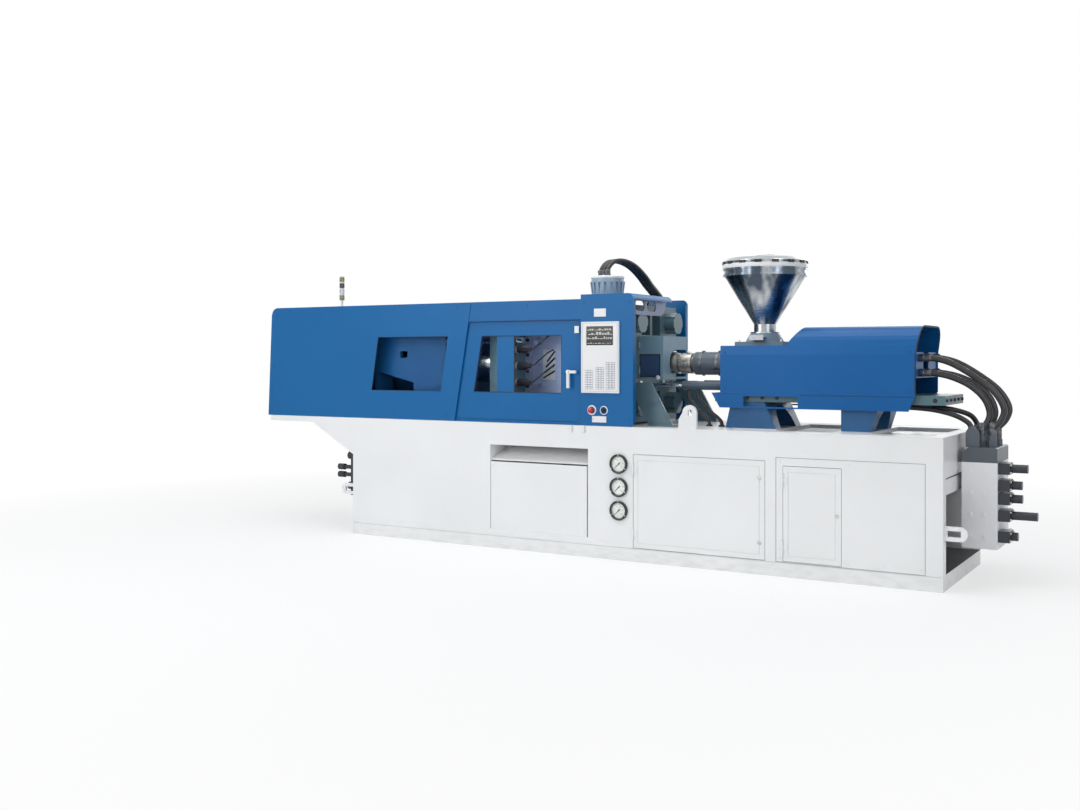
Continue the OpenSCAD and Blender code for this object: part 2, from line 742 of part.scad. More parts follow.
// Cover over the fixed platen, with its arched end rib and the button collars
module cover_cheek(right = cover_right) {
    difference() {
        plate_xz(concat([[cover_x, base_h], [right - 25, base_h]],
            arc([right - 25, base_h + 25], 25, -90, 0),
            arc([right - 40, cover_top - 40], 40, 0, 90), [[cover_x, cover_top]]),
            -hw, -hw + guard_t);
        children();
    }
    slab([right - guard_t, right], [-hw + guard_t, -hw + 40],
        [base_h + 25, cover_top - 40]);
}
roof_back = 60;
module platen_cover() {
    color("steelblue") {
        cover_cheek() for (x = [stop_x, key_x])
            rod_y(x, -hw - eps, -hw + guard_t + eps, stop_z, 8 + play);
        for (x = [stop_x, key_x]) difference() {
            rod_y(x, -hw - 5, -hw, stop_z, 24);
            rod_y(x, -hw - 6, -hw + eps, stop_z, 8 + play);
        }
        mirror([0, 1, 0]) cover_cheek(cover_right - 100);
        slab([cover_x, cover_right - 40], [-hw + guard_t, roof_back],
            [cover_top - guard_t, cover_top]);
        plate_xz(concat([[cover_right - 40, cover_top - guard_t]],
            arc([cover_right - 40, cover_top - 40], 28, 90, 0, 6),
            arc([cover_right - 40, cover_top - 40], 40, 0, 90, 6)), -hw + guard_t, roof_back);
        // arched rib with two oval holes under the end of the roof
        difference() {
            plate_yz(concat([[-hw + guard_t, cover_top - guard_t]],
                arc([-hw + 160, cover_top - 30], 110, 180, 270),
                arc([-60, cover_top - 30], 110, 270, 360),
                [[roof_back, cover_top - guard_t]]), cover_right - 54, cover_right - 42);
            for (y = [-hw + 190, -190]) hull() for (d = [-40, 40])
                rod_x(cover_right - 55, cover_right - 41, y + d, cover_top - 78, 34);
        }
        // posts that carry the rear of the roof on the platen
        for (x = [cover_x + 40, fixed_back - 60])
            slab([x, x + 40], [roof_back - 60, roof_back],
                [axis_z + platen_h / 2, cover_top - guard_t]);
    }
}
module guard_windows() {
    mid = -hw + guard_t / 2;
    color("lightblue", 0.4) both_sides()
        plate_xz(side_window(), mid - glass_t / 2, mid + glass_t / 2);
}

// Sliding gate: a panel with a window, a foot that runs in the rail and a pivot pin
module gate_panel() {
    foot = base_h + 24;
    head = gate_top + 30;
    mid = gate_y + gate_t / 2;
    difference() {
        plate_xz([[seam(head) - 30, head], [cover_x + 20, head], [cover_x + 20, foot],
            [seam(foot) - 30, foot]], gate_y, gate_y + gate_t);
        plate_xz(gate_window(gate_window_edge), gate_y - eps, gate_y + gate_t + eps);
    }
    slab([seam(foot) - 20, cover_x - 40], [mid - 4, mid + 4], [base_h + 5 + gap, foot]);
}
module gate_glass() {
    mid = gate_y + gate_t / 2;
    color("lightblue", 0.4)
        plate_xz(gate_window(gate_window_edge), mid - glass_t / 2, mid + glass_t / 2);
}
handle_x = cover_x - 91;
handle_z = base_h + 368;
module front_gate() {
    color("steelblue") {
        gate_panel();
        rod_y(handle_x, -hw - 26, gate_y, handle_z, 6);
        rod_y(handle_x, -hw - 3, gate_y, handle_z, 16);
    }
}
module rear_gate() {
    color("steelblue") mirror([0, 1, 0]) {
        gate_panel();
        for (z = [handle_z, handle_z - 140]) rod_y(handle_x, -hw - 30, gate_y, z, 8);
        translate([handle_x, -hw - 30, handle_z - 150]) cylinder(r = 9, h = 160, $fn = 32);
    }
}
module front_gate_window() {
    gate_glass();
}
module rear_gate_window() {
    mirror([0, 1, 0]) gate_glass();
}
module gate_handle() {
    front = -hw - 24;
    color("white") difference() {
        union() {
            rod_y(handle_x, front, -hw - 3 - gap, handle_z, 14);
            slab([handle_x, handle_x + 62], [front, front + 14], [handle_z - 10, handle_z + 10]);
            slab([handle_x - 10, handle_x + 10], [front, front + 14],
                [handle_z - 112, handle_z]);
        }
        rod_y(handle_x, front - eps, -hw + eps, handle_z, 6 + play);
    }
}

// Control panel with its screen opening and three key fields
key_columns = [[30, 62, 155], [112, 65, 176], [192, 69, 210]];
module control_panel() {
    screen = [40, 246];
    color("white") difference() {
        slab([panel_x, panel_x + panel_w], [-hw - panel_t, -hw], [panel_z, panel_z + panel_h]);
        slab([panel_x + screen[0], panel_x + screen[1]], [-hw - panel_t - eps, -hw - panel_t + 4],
            [panel_z + panel_h - 161, panel_z + panel_h - 31]);
        for (c = key_columns)
            slab([panel_x + c[0], panel_x + c[0] + c[1]],
                [-hw - panel_t - eps, -hw - panel_t + 1], [panel_z + 24, panel_z + c[2]]);
    }
}
module stop_button() {
    color("red") {
        rod_y(stop_x, -hw - 12, -hw + guard_t + 8, stop_z, 8);
        translate([stop_x, -hw - 11, stop_z]) rotate([90, 0, 0]) rotate_extrude($fn = 48)
            polygon(concat([[0, 0], [14, 0], [stop_r, 8]],
                arc([stop_r - 8, 12], 8, 0, 90, 5), [[0, 22]]));
    }
}
module key_switch() {
    color("black") {
        rod_y(key_x, -hw - 8, -hw + guard_t + 8, stop_z, 8);
        rod_y(key_x, -hw - 14, -hw - 5 - gap, stop_z, 16);
        slab([key_x - 4, key_x + 4], [-hw - 30, -hw - 13], [stop_z - 15, stop_z + 15]);
    }
}
module signal_tower() {
    color("lightgray") translate([guard_left + 571, -360, guard_top]) {
        cylinder(r = 30, h = 12, $fn = 32);
        cylinder(r = 10, h = 70, $fn = 32);
        for (i = [0 : 3]) translate([0, 0, 60 + i * 48]) {
            cylinder(r = 19, h = 40, $fn = 32);
            cylinder(r = 16, h = 48, $fn = 32);
        }
    }
}

// Ribbed hose drum on the roof of the platen cover
drum_y = -400;
drum_r = 122;
module hose_drum() {
    color("lightsteelblue") translate([drum_x, drum_y, cover_top]) {
        difference() {
            union() {
                cylinder(r1 = drum_r - 12, r2 = drum_r, h = 90, $fn = 64);
                translate([0, 0, 90]) cylinder(r = drum_r - 8, h = 12, $fn = 64);
            }
            for (a = [0 : 20 : 340]) rotate([0, 0, a + 10])
                slab([drum_r - 16, drum_r + 10], [-9, 9], [12, 84]);
        }
        translate([0, 0, 102]) cylinder(r = drum_r - 10, h = 20, $fn = 48);
    }
}

// Purge guard over the nozzle, hinged like a door on the fixed platen
purge_hw = 200;
purge_top = axis_z + 190;
purge_foot = axis_z - 112;
purge_right = fixed_back + 190;
purge_pin = [fixed_back + 8, -purge_hw - 7];
module purge_knuckle(low, high, r) {
    translate([purge_pin[0], purge_pin[1], purge_foot + low]) cylinder(r = r, h = high - low,
        $fn = 32);
}
module purge_guard() {
    wall = 6;
    left = fixed_back + gap;
    slot_r = barrel_cover_r + 16;
    color("cadetblue") difference() {
        union() {
            slab([left, purge_right], [-purge_hw, -purge_hw + wall], [purge_foot, purge_top]);
            slab([left, purge_right], [-purge_hw, purge_hw], [purge_top - wall, purge_top]);
            slab([purge_right - wall, purge_right], [-purge_hw, purge_hw],
                [purge_foot, purge_top]);
            for (z = [40, 220]) {
                purge_knuckle(z, z + 40, 7);
                slab([left, left + 12], [-purge_hw - 4, -purge_hw],
                    [purge_foot + z, purge_foot + z + 40]);
            }
        }
        slab([left + 12, purge_right - 26], [-purge_hw - eps, -purge_hw + wall + eps],
            [purge_foot + 20, purge_foot + 173]);
        slab([purge_right - wall - eps, purge_right + eps], [0, purge_hw + eps],
            [axis_z - slot_r, axis_z + slot_r]);
        rod_x(purge_right - wall - eps, purge_right + eps, 0, axis_z, slot_r);
        purge_knuckle(0, 302, hinge_pin_r + play);
    }
}

// Slide bed and the two cast supports under it
support_hw = 250;
module slide_bed() {
    color("slategray") {
        difference() {
            slab([bed_x, bed_right], [-bed_hw, bed_hw], [bed_top - bed_t, bed_top]);
            slab([bed_x + 160, bed_right - 120], [-bed_hw + 90, bed_hw - 90],
                [bed_top - bed_t - eps, bed_top + eps]);
        }
        // cross ties between the two ways
        for (x = [1420, 1860]) slab([x, x + 80], [-bed_hw + 90, bed_hw - 90],
            [bed_top - bed_t, bed_top - 20]);
    }
}
module bed_supports() {
    top = bed_top - bed_t;
    color("slategray") difference() {
        union() {
            plate_xz([[bed_x + 70, base_h], [bed_x + 421, base_h], [bed_x + 340, top],
                [bed_x + 110, top]],
                -support_hw, support_hw);
            plate_xz([[bed_x + 850, base_h], [bed_x + 1036, base_h], [bed_x + 1090, top],
                [bed_x + 850, top]],
                -support_hw, support_hw);
        }
        for (x = [bed_x + 240, bed_x + 960])
            plate_yz(concat([[-150, base_h - eps]], arc([0, base_h], 150, 180, 0, 12)),
                x - 200, x + 200);
    }
    // port block of the lower hoses
    color("slategray") slab([1975, 1999.7], [-185, 5], [top - 38, top]);
}

// Feed housing: the casting that carries barrel, hopper and injection cylinders
feed_back = feed_x + feed_len;
module feed_housing() {
    color("gray") difference() {
        union() {
            slab([feed_x, feed_back], [-feed_hw, feed_hw], [bed_top + gap, feed_top]);
            slab([feed_x, feed_back], [-hood_hw + hood_t, hood_hw - hood_t],
                [bed_top + gap, bed_top + 34]);
            rod_x(feed_x - 45, feed_x + eps, 0, axis_z, barrel_cover_r - 3 - gap);
        }
        rod_x(feed_x - 46, feed_back + eps, 0, axis_z, barrel_r);
        translate([hopper_x, 0, axis_z]) cylinder(r = throat_r, h = 200, $fn = 48);
        for (s = [-1, 1]) slab([feed_x + 60, feed_back - 60],
            [min(s * feed_hw, s * 130), max(s * (feed_hw + eps), s * 130)],
            [axis_z - 120, axis_z + 60]);
    }
}
module barrel() {
    color("dimgray") difference() {
        rod_x(barrel_x, feed_back, 0, axis_z, barrel_r);
        rod_x(barrel_x + 30, feed_back + eps, 0, axis_z, screw_r + play);
        rod_x(barrel_x - eps, barrel_x + 31, 0, axis_z, 6);
        translate([hopper_x, 0, axis_z]) cylinder(r = throat_r, h = 200, $fn = 48);
    }
}
nozzle_tip = platen_x + 12 + gap;
module nozzle() {
    length = barrel_x - nozzle_tip;
    color("silver") translate([nozzle_tip, 0, axis_z]) rotate([0, 90, 0])
        rotate_extrude($fn = 64) polygon(concat([[5, 0]],
            arc([6, 12], 12, -90, 0, 5), [[22, 60], [28, 70], [28, length - 40],
            [50, length - 40], [50, length], [5, length]]));
}
module heater_bands() {
    color("silver") for (i = [0 : 4]) {
        x = barrel_x + 22 + i * 106;
        difference() {
            union() {
                rod_x(x, x + 84, 0, axis_z, barrel_r + 11);
                slab([x + 20, x + 64], [-16, 16],
                    [axis_z + barrel_r, axis_z + barrel_r + 15]);
            }
            rod_x(x - eps, x + 85, 0, axis_z, barrel_r);
        }
    }
}
module barrel_cover() {
    color("slategray") difference() {
        rod_x(barrel_cover_x, feed_x, 0, axis_z, barrel_cover_r);
        rod_x(barrel_cover_x - eps, feed_x + eps, 0, axis_z, barrel_cover_r - 3);
        for (a = [-60 : 20 : 60])
            rotate_about_axis(a + 180) slab([feed_x - 200, feed_x - 80], [-4, 4],
                [axis_z + barrel_cover_r - 6, axis_z + barrel_cover_r + 5]);
    }
}
module rotate_about_axis(a) {
    translate([0, 0, axis_z]) rotate([a, 0, 0]) translate([0, 0, -axis_z]) children();
}

// Screw: a flight wound round its root, a ring-shaped tip and a drive shank
module screw() {
    flight_len = 800;
    turns = 14;
    root_r = screw_r * 0.7;
    outline = concat(arc([0, 0], root_r, 25, 335, 6),
        [[screw_r * cos(8), -screw_r * sin(8)], [screw_r * cos(8), screw_r * sin(8)]]);
    color("silver") translate([barrel_x + 34, 0, axis_z]) rotate([0, 90, 0]) {
        cylinder(r1 = 6, r2 = screw_r - 3, h = 24, $fn = 24);
        translate([0, 0, 24]) linear_extrude(flight_len, twist = -360 * turns, slices = turns * 8,
            segments = len(outline))
            polygon(outline);
        translate([0, 0, 20 + flight_len])
            cylinder(r = 20, h = drive_x + 50 - barrel_x - 54 - flight_len, $fn = 24);
    }
}
shank_r = 20;
module drive_plate() {
    color("gray") {
        difference() {
            slab([drive_x, drive_x + drive_t], [-feed_hw, feed_hw],
                [bed_top + gap, axis_z + 110]);
            rod_x(drive_x - eps, drive_x + 55, 0, axis_z, shank_r + play);
        }
        for (s = [-1, 1]) {
            rod_x(feed_back + 15, drive_x + eps, s * inject_y, axis_z, 22);
            rod_x(feed_back + 15, feed_back + 45, s * inject_y, axis_z, inject_r - 14 - play);
        }
    }
}
module hydraulic_motor() {
    color("dimgray") {
        slab([motor_x, motor_x + 20], [-95, 95], [axis_z - 95, axis_z + 95]);
        rod_x(motor_x + 20, motor_x + motor_len - 30, 0, axis_z, 88);
        rod_x(motor_x + motor_len - 30, motor_x + motor_len, 0, axis_z, 60);
        for (a = [0 : 72 : 288]) rotate_about_axis(a)
            translate([motor_x + 90, 0, axis_z + 60]) cylinder(r = 32, h = 50, $fn = 32);
    }
}
module injection_cylinders() {
    color("steelblue") for (s = [-1, 1]) difference() {
        union() {
            rod_x(feed_back, feed_back + inject_len, s * inject_y, axis_z, inject_r);
            slab([feed_back, feed_back + 24], [s * inject_y - 60, s * inject_y + 60],
                [axis_z - 70, axis_z + 70]);
        }
        rod_x(feed_back + 12, feed_back + inject_len - 24, s * inject_y, axis_z, inject_r - 14);
        rod_x(feed_back + inject_len - 25, feed_back + inject_len + eps, s * inject_y, axis_z,
            22 + play);
    }
}
carriage_y = 186;
carriage_z = axis_z - 150;
carriage_back = feed_x;
carriage_front = feed_x - carriage_stroke - 64;
module carriage_cylinders() {
    color("steelblue") for (s = [-1, 1]) difference() {
        rod_x(carriage_front, carriage_back, s * carriage_y, carriage_z, carriage_r);
        rod_x(carriage_front + 22, carriage_back - 10, s * carriage_y, carriage_z, carriage_r - 8);
        rod_x(carriage_front - eps, carriage_front + 23, s * carriage_y, carriage_z, 12 + play);
    }
}
module carriage_rods() {
    color("silver") for (s = [-1, 1]) {
        rod_x(fixed_back, carriage_back - 16, s * carriage_y, carriage_z, 12);
        rod_x(carriage_back - 34, carriage_back - 14, s * carriage_y, carriage_z,
            carriage_r - 8 - play);
        rod_x(fixed_back, fixed_back + 14, s * carriage_y, carriage_z, 28);
    }
}

// Injection cover: a folded hood with a stepped top, skirts and slide windows
function hood_side(t) = [[hood_x + t, bed_top], [hood_x + t, hood_low - t],
    [hood_step_x + t, hood_low - t], [hood_step_x + 95 + t, hood_low + 118 - t]];
function hood_section(t) = concat([[-hood_hw + t, base_h], [-hood_hw + t, hood_low - 60]],
    [[-hood_hw + 8 + t, hood_low]],
    arc([-hood_hw + 128, hood_low], 118 - t, 176, 90, 7),
    arc([hood_hw - 128, hood_low], 118 - t, 90, 4, 7),
    [[hood_hw - 8 - t, hood_low], [hood_hw - t, hood_low - 60], [hood_hw - t, base_h]]);
module injection_cover() {
    skirt = base_h + 135;
    color("steelblue") difference() {
        intersection() {
            plate_xz(concat([[hood_x - 62, bed_top], [hood_x - 4, skirt],
                [hood_right - 40, skirt], [hood_right, bed_top]],
                [[hood_right, hood_low - 65], [hood_right + 30, hood_low + 118]],
                [for (i = [3 : -1 : 1]) hood_side(0)[i]], [[hood_x, bed_top]]),
                -hood_hw - eps, hood_hw + eps);
            plate_yz(hood_section(0), hood_x - 200, hood_right + 200);
        }
        intersection() {
            plate_xz(concat(hood_side(hood_t), [[hood_right + 100, hood_low + 118 - hood_t],
                [hood_right + 100, base_h], [hood_x - 200, base_h], [hood_x - 200, bed_top]]),
                -hood_hw, hood_hw);
            plate_yz(hood_section(hood_t), hood_x - 250, hood_right + 250);
        }
        both_sides() slab([1115, 1484], [-hood_hw - eps, -hood_hw + hood_t + eps],
            [skirt + 10, bed_top - 20]);
        rod_x(hood_x - eps, hood_x + hood_t + eps, 0, axis_z, barrel_cover_r + 1);
        both_sides() rod_x(hood_x - eps, hood_x + hood_t + eps, carriage_y, carriage_z,
            carriage_r + 1);
        translate([hopper_x, 0, feed_top]) cylinder(r = throat_r + 26, h = 40, $fn = 48);
    }
    // bulkhead for the hoses inside the open end
    color("dimgray") difference() {
        slab([hood_right - 14, hood_right - 4], [-hood_hw + hood_t, hood_hw - hood_t],
            [base_h + 340, base_h + 500]);
        slab([hood_right - 15, hood_right - 3], [-70, 70], [base_h + 380, base_h + 501]);
    }
}

// Hopper of spun sheet, its lid, its base casting and the shut-off slide
module hopper() {
    function wall_line(d) = [[neck_r - d, neck_z], [neck_r - d, cone_z],
        [hopper_r - 14 - d, band_z], [hopper_r - 14 - d, band_z + band_h]];
    color("silver") translate([hopper_x, 0, 0]) {
        rotate_extrude($fn = 96) polygon(concat(wall_line(0),
            [for (i = [3 : -1 : 0]) wall_line(hopper_wall)[i]]));
        // rolled bands round the rim and the foot of the cone
        for (z = [band_z - 6, band_z + 34, band_z + band_h - 14]) rotate_extrude($fn = 96)
            translate([hopper_r - 14, z]) square([8, 14]);
        rotate_extrude($fn = 64) translate([neck_r - hopper_wall, neck_z]) square([26, 8]);
    }
}
module hopper_lid() {
    top = band_z + band_h;
    color("silver") translate([hopper_x, 0, top]) {
        rotate_extrude($fn = 96) polygon([[0, 0], [hopper_r, 0], [hopper_r, 4],
            [hopper_r - 10, 10], [hopper_r - 40, 26], [0, 34]]);
        // lift handle
        for (s = [-1, 1]) translate([s * 60, 0, 20]) cylinder(r = 6, h = 40, $fn = 24);
        rod_x(-66, 66, 0, 56, 6);
    }
}
slide_z = throat_top + 24;
module hopper_base() {
    color("gray") difference() {
        union() {
            slab([hopper_x - 170, hopper_x + 170], [-120, 120], [hood_low, throat_top]);
            translate([hopper_x, 0, feed_top]) cylinder(r = throat_r + 24, h = 20, $fn = 48);
            translate([hopper_x, 0, throat_top]) cylinder(r1 = 132, r2 = neck_r + 23,
                h = neck_z - throat_top, $fn = 64);
        }
        translate([hopper_x, 0, feed_top - eps]) cylinder(r = throat_r, h = 200, $fn = 48);
        slab([hopper_x - 50 - gap, hopper_x + 50 + gap], [-140, 140],
            [slide_z - gap, slide_z + 6 + gap]);
    }
}
module hopper_shutoff() {
    color("lightgray") {
        difference() {
            slab([hopper_x - 50, hopper_x + 50], [-165, 140], [slide_z, slide_z + 6]);
            translate([hopper_x, 0, slide_z - eps]) cylinder(r = throat_r, h = 10, $fn = 48);
        }
        slab([hopper_x - 50, hopper_x + 50], [-171, -165], [slide_z - 14, slide_z + 20]);
    }
}

// Valve manifold on the injection end, with its bevelled hose header
fitting_x = [manifold_x + 42, manifold_x + 102, manifold_x + 162];
module manifold() {
    right = manifold_x + manifold_len;
    color("lightsteelblue") slab([manifold_x, right], [-manifold_hw, manifold_hw],
        [manifold_z, manifold_top]);
    color("darkslategray") {
        plate_xz([[manifold_x, manifold_top], [right, manifold_top],
            [right, header_top - 6], [right - 10, header_top], [manifold_x + 40, header_top],
            [manifold_x, header_top - 34]], -manifold_hw, manifold_hw);
        // brackets to the end of the base, and the hose fittings
        for (s = [-1, 1]) slab([base_right, manifold_x], [s * 120 - 30, s * 120 + 30],
            [manifold_top - 66, manifold_top - 6]);
        for (x = fitting_x, y = [-110, 70])
            translate([x, y, header_top - eps]) {
                cylinder(r = 28, h = 40, $fn = 6);
                cylinder(r = hose_r + 5, h = 74, $fn = 32);
            }
        both_sides() plate_xz(concat([[manifold_x + 20, header_top]],
            [[manifold_x + 20, header_top + 60]],
            arc([manifold_x + 60, header_top + 80], 40, 180, 0, 8),
            [[manifold_x + 100, header_top]]), -manifold_hw + 10, -manifold_hw + 26);
    }
}
valve_z = [77, 203, 303, 384, 484];
valve_len = [105, 214, 130, 128, 160];
module hydraulic_valves() {
    right = manifold_x + manifold_len;
    color("darkslategray") {
        for (i = [0 : 4]) translate([right, -110, manifold_z + valve_z[i]]) {
            slab([0, 66], [-60, 60], [-34, 34]);
            rod_x(66, valve_len[i], 0, 0, 26);
            rod_y(33, 60, 170, 0, 24);
        }
        // clamp valves on the left end of the base
        slab([base_left - 100, base_left], [-hw + 90, -hw + 360], [284, 660]);
        for (y = [-hw + 160, -hw + 290], z = [350, 590])
            rod_x(base_left - 170, base_left - 100, y, z, 30);
        for (z = [440, 500]) {
            rod_x(base_left - 190, base_left - 100, -hw + 130, z, 16);
            if (z == 500) rod_x(base_left - 250, base_left - 190, -hw + 130, z, 24);
            if (z == 440) rod_x(base_left - 222, base_left - 189, -hw + 130, z, 5);
        }
    }
}
module flow_knob() {
    color("black") difference() {
        rod_x(base_left - 250, base_left - 190 - gap, -hw + 130, 440, 24);
        rod_x(base_left - 223, base_left - 189, -hw + 130, 440, 5 + play);
        for (a = [0 : 45 : 315]) translate([0, -hw + 130, 440]) rotate([a, 0, 0])
            slab([base_left - 251, base_left - 205], [-2, 2], [22, 26]);
    }
}

// Hoses: tubes swept along hand-set routes
function unit(v) = v / norm(v);
function heading(p, i) = unit(p[min(i + 1, len(p) - 1)] - p[max(i - 1, 0)]);
module hose(p, r, n = 10, side = [0.12, 1, 0.07]) {
    rings = [for (i = [0 : len(p) - 1])
        let (t = heading(p, i), a = unit(cross(t, side)), b = cross(t, a))
        for (k = [0 : n - 1])
            p[i] + r * (cos(360 * k / n) * a + sin(360 * k / n) * b)];
    last = (len(p) - 1) * n;
    sides = [for (i = [0 : len(p) - 2], k = [0 : n - 1], h = [0, 1])
        h == 0 ? [(i + 1) * n + k, (i + 1) * n + (k + 1) % n, i * n + k]
            : [(i + 1) * n + (k + 1) % n, i * n + (k + 1) % n, i * n + k]];
    polyhedron(rings, concat([[for (k = [0 : n - 1]) k]], sides,
        [[for (k = [n - 1 : -1 : 0]) last + k]]), convexity = 4);
}
drum_end = cover_top + 122.3;
platen_end = axis_z + platen_h / 2 + 0.4;
drum_route = [[drum_x - 50, drum_y, drum_end], [drum_x - 50, drum_y, drum_end + 52],
    [128, -345, cover_top + 230], [165, -260, cover_top + 240], [200, -160, cover_top + 210],
    [215, -40, cover_top + 150], [210, 80, cover_top + 90], [198, 190, cover_top + 50],
    [188, 280, cover_top + 15], [181, 330, platen_end + 42], [180, 340, platen_end + 14],
    [180, 340, platen_end]];
// Height of a route's point as a share of the drop from its start to the header's fittings
header_end = header_top + 73.3;
function fall(start, share) = header_end + share * (start - header_end);
way_z = bed_top - 77;
way_x = bed_right - 390;
module fixed_hoses() {
    color("black") {
        for (i = [0 : 2])
            hose([for (p = drum_route) p + i * [38, -21, 0]], 15, 10, [1, -0.3, 0.07]);
        // lower pair from the slide bed to the manifold
        hose([[way_x, -150, way_z], [way_x + 150, -150, way_z],
            [way_x + 300, -142, fall(way_z, 0.92)], [way_x + 420, -126, fall(way_z, 0.72)],
            [manifold_x + 26, -113, fall(way_z, 0.43)], [manifold_x + 42, -110, fall(way_z, 0.17)],
            [manifold_x + 42, -110, header_end]], 16);
        hose([[way_x, -40, way_z], [way_x + 150, -40, way_z], [way_x + 330, -4, fall(way_z, 0.96)],
            [way_x + 460, 40, fall(way_z, 0.75)], [manifold_x + 34, 64, fall(way_z, 0.46)],
            [manifold_x + 42, 70, fall(way_z, 0.2)], [manifold_x + 42, 70, header_end]], 16);
        // coolant hoses on the fixed mould half
        for (z = [1250, 1400])
            hose([[-30, -232, z], [-40, -290, z + 10], [-20, -330, z + 50], [20, -340, z + 110],
                [50, -345, z + 170]], 8, 8, [1, -0.2, -0.3]);
    }
}
upper_z = axis_z + 38;
lower_z = axis_z - 54;
hose_x = hood_right - 3.5;
upper_route = [[hose_x, -180, upper_z], [hose_x + 73.5, -180, upper_z],
    [hose_x + 183.5, -168, fall(upper_z, 0.935)], [manifold_x + 60, -146, fall(upper_z, 0.766)],
    [manifold_x + 170, -126, fall(upper_z, 0.573)], [manifold_x + 228, -114, fall(upper_z, 0.355)],
    [manifold_x + 212, -110, fall(upper_z, 0.195)], [manifold_x + 166, -110, fall(upper_z, 0.08)],
    [manifold_x + 162, -110, fall(upper_z, 0.05)], [manifold_x + 162, -110, header_end]];
lower_route = [[hose_x, -180, lower_z], [hose_x + 73.5, -180, lower_z],
    [hose_x + 183.5, -166, fall(lower_z, 0.94)], [manifold_x + 40, -146, fall(lower_z, 0.797)],
    [manifold_x + 118, -126, fall(lower_z, 0.588)], [manifold_x + 148, -114, fall(lower_z, 0.353)],
    [manifold_x + 128, -110, fall(lower_z, 0.174)], [manifold_x + 103, -110, fall(lower_z, 0.09)],
    [manifold_x + 102, -110, fall(lower_z, 0.06)], [manifold_x + 102, -110, header_end]];
rod_end = carriage_z - carriage_r - 0.3;
module carriage_hoses() {
    color("black") {
        hose(upper_route, hose_r);
        hose(lower_route, hose_r);
        hose([for (p = upper_route) [p[0], p[1] * 0.2 + 92, p[2]]], hose_r);
        hose([for (p = lower_route) [p[0], p[1] * 0.2 + 92, p[2]]], hose_r);
        for (s = [0, 1])
            hose([[680 + 70 * s, -carriage_y, rod_end], [680 + 70 * s, -carriage_y, rod_end - 55],
                [735 + 80 * s, -180, base_h + 115], [798 + 90 * s, -171, base_h + 55],
                [820 + 90 * s, -170, base_h + 25], [820 + 90 * s, -170, base_h + 0.3]], 12, 8);
    }
}

base_frame();
base_covers();
side_door();
cabinet_door();
cabinet_plate();
pump_motor();
gauge_cases();
gauge_needle(2);  // gauge_needle_top
gauge_needle(1);  // gauge_needle_middle
gauge_needle(0);  // gauge_needle_bottom
fixed_platen();
moving_platen();
tail_platen();
tie_bars();
safety_bar();
main_cylinder();
clamp_ram();
mould_fixed_half();
mould_moving_half();
ejector_plate();
platen_braces();
front_guard();
rear_guard();
clamp_roof();
platen_cover();
guard_windows();
front_gate();
front_gate_window();
gate_handle();
rear_gate();
rear_gate_window();
control_panel();
stop_button();
key_switch();
signal_tower();
hose_drum();
purge_guard();
slide_bed();
bed_supports();
feed_housing();
barrel();
nozzle();
heater_bands();
barrel_cover();
screw();
drive_plate();
hydraulic_motor();
injection_cylinders();
carriage_cylinders();
carriage_rods();
injection_cover();
hopper();
hopper_lid();
hopper_base();
hopper_shutoff();
manifold();
hydraulic_valves();
flow_knob();
fixed_hoses();
carriage_hoses();
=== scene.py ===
import math
import random

import bmesh
import bpy
from mathutils import Matrix, Vector


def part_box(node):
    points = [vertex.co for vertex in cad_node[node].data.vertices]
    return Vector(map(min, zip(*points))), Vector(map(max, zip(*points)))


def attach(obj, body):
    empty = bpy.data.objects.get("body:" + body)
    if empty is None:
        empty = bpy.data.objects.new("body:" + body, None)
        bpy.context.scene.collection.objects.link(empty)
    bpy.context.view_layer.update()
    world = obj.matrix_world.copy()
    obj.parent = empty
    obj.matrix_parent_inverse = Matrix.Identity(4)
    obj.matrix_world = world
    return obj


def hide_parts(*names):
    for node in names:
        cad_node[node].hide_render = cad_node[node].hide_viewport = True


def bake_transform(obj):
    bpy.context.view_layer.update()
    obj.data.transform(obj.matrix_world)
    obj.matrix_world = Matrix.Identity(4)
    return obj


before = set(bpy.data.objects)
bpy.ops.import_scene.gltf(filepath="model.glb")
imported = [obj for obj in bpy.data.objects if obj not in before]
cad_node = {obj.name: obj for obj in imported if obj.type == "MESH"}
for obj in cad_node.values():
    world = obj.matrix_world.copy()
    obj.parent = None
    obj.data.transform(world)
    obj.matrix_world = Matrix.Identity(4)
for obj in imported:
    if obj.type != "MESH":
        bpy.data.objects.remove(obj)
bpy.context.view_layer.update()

# Studio: camera, floor and light.
# The machine was photographed from its injection end at a standing eye height, on a white floor.
# The camera's place comes from the vanishing lines of the base, and the frame is 1080 by 810.
photo_width = 1080
focal_pixels = 1160
horizon_above_middle = 47
camera_data = bpy.data.cameras.new("camera")
camera_data.sensor_width = 36
camera_data.lens = camera_data.sensor_width * focal_pixels / photo_width
camera_data.shift_y = -horizon_above_middle / photo_width
camera_data.clip_end = 200
camera = bpy.data.objects.new("camera", camera_data)
camera.location = (3.927, -7.520, 1.3636)
camera.rotation_euler = Vector((-0.5183, 0.8552, 0)).to_track_quat("-Z", "Y").to_euler()
bpy.context.scene.collection.objects.link(camera)
bpy.context.scene.camera = camera
bpy.context.scene.view_settings.view_transform = "Standard"


def step(tree, kind, feeds=None, give=0, **settings):
    """Adds a node, feeds its inputs with values or other outputs, and returns one output."""
    node = tree.nodes.new(kind)
    for word, value in settings.items():
        setattr(node, word, value)
    for place, value in (feeds or {}).items():
        if isinstance(value, bpy.types.NodeSocket):
            tree.links.new(value, node.inputs[place])
        else:
            node.inputs[place].default_value = value
    return node.outputs[give]


def maths(tree, operation, first, second):
    """Two signals or values taken together."""
    return step(tree, "ShaderNodeMath", {0: first, 1: second}, operation=operation)


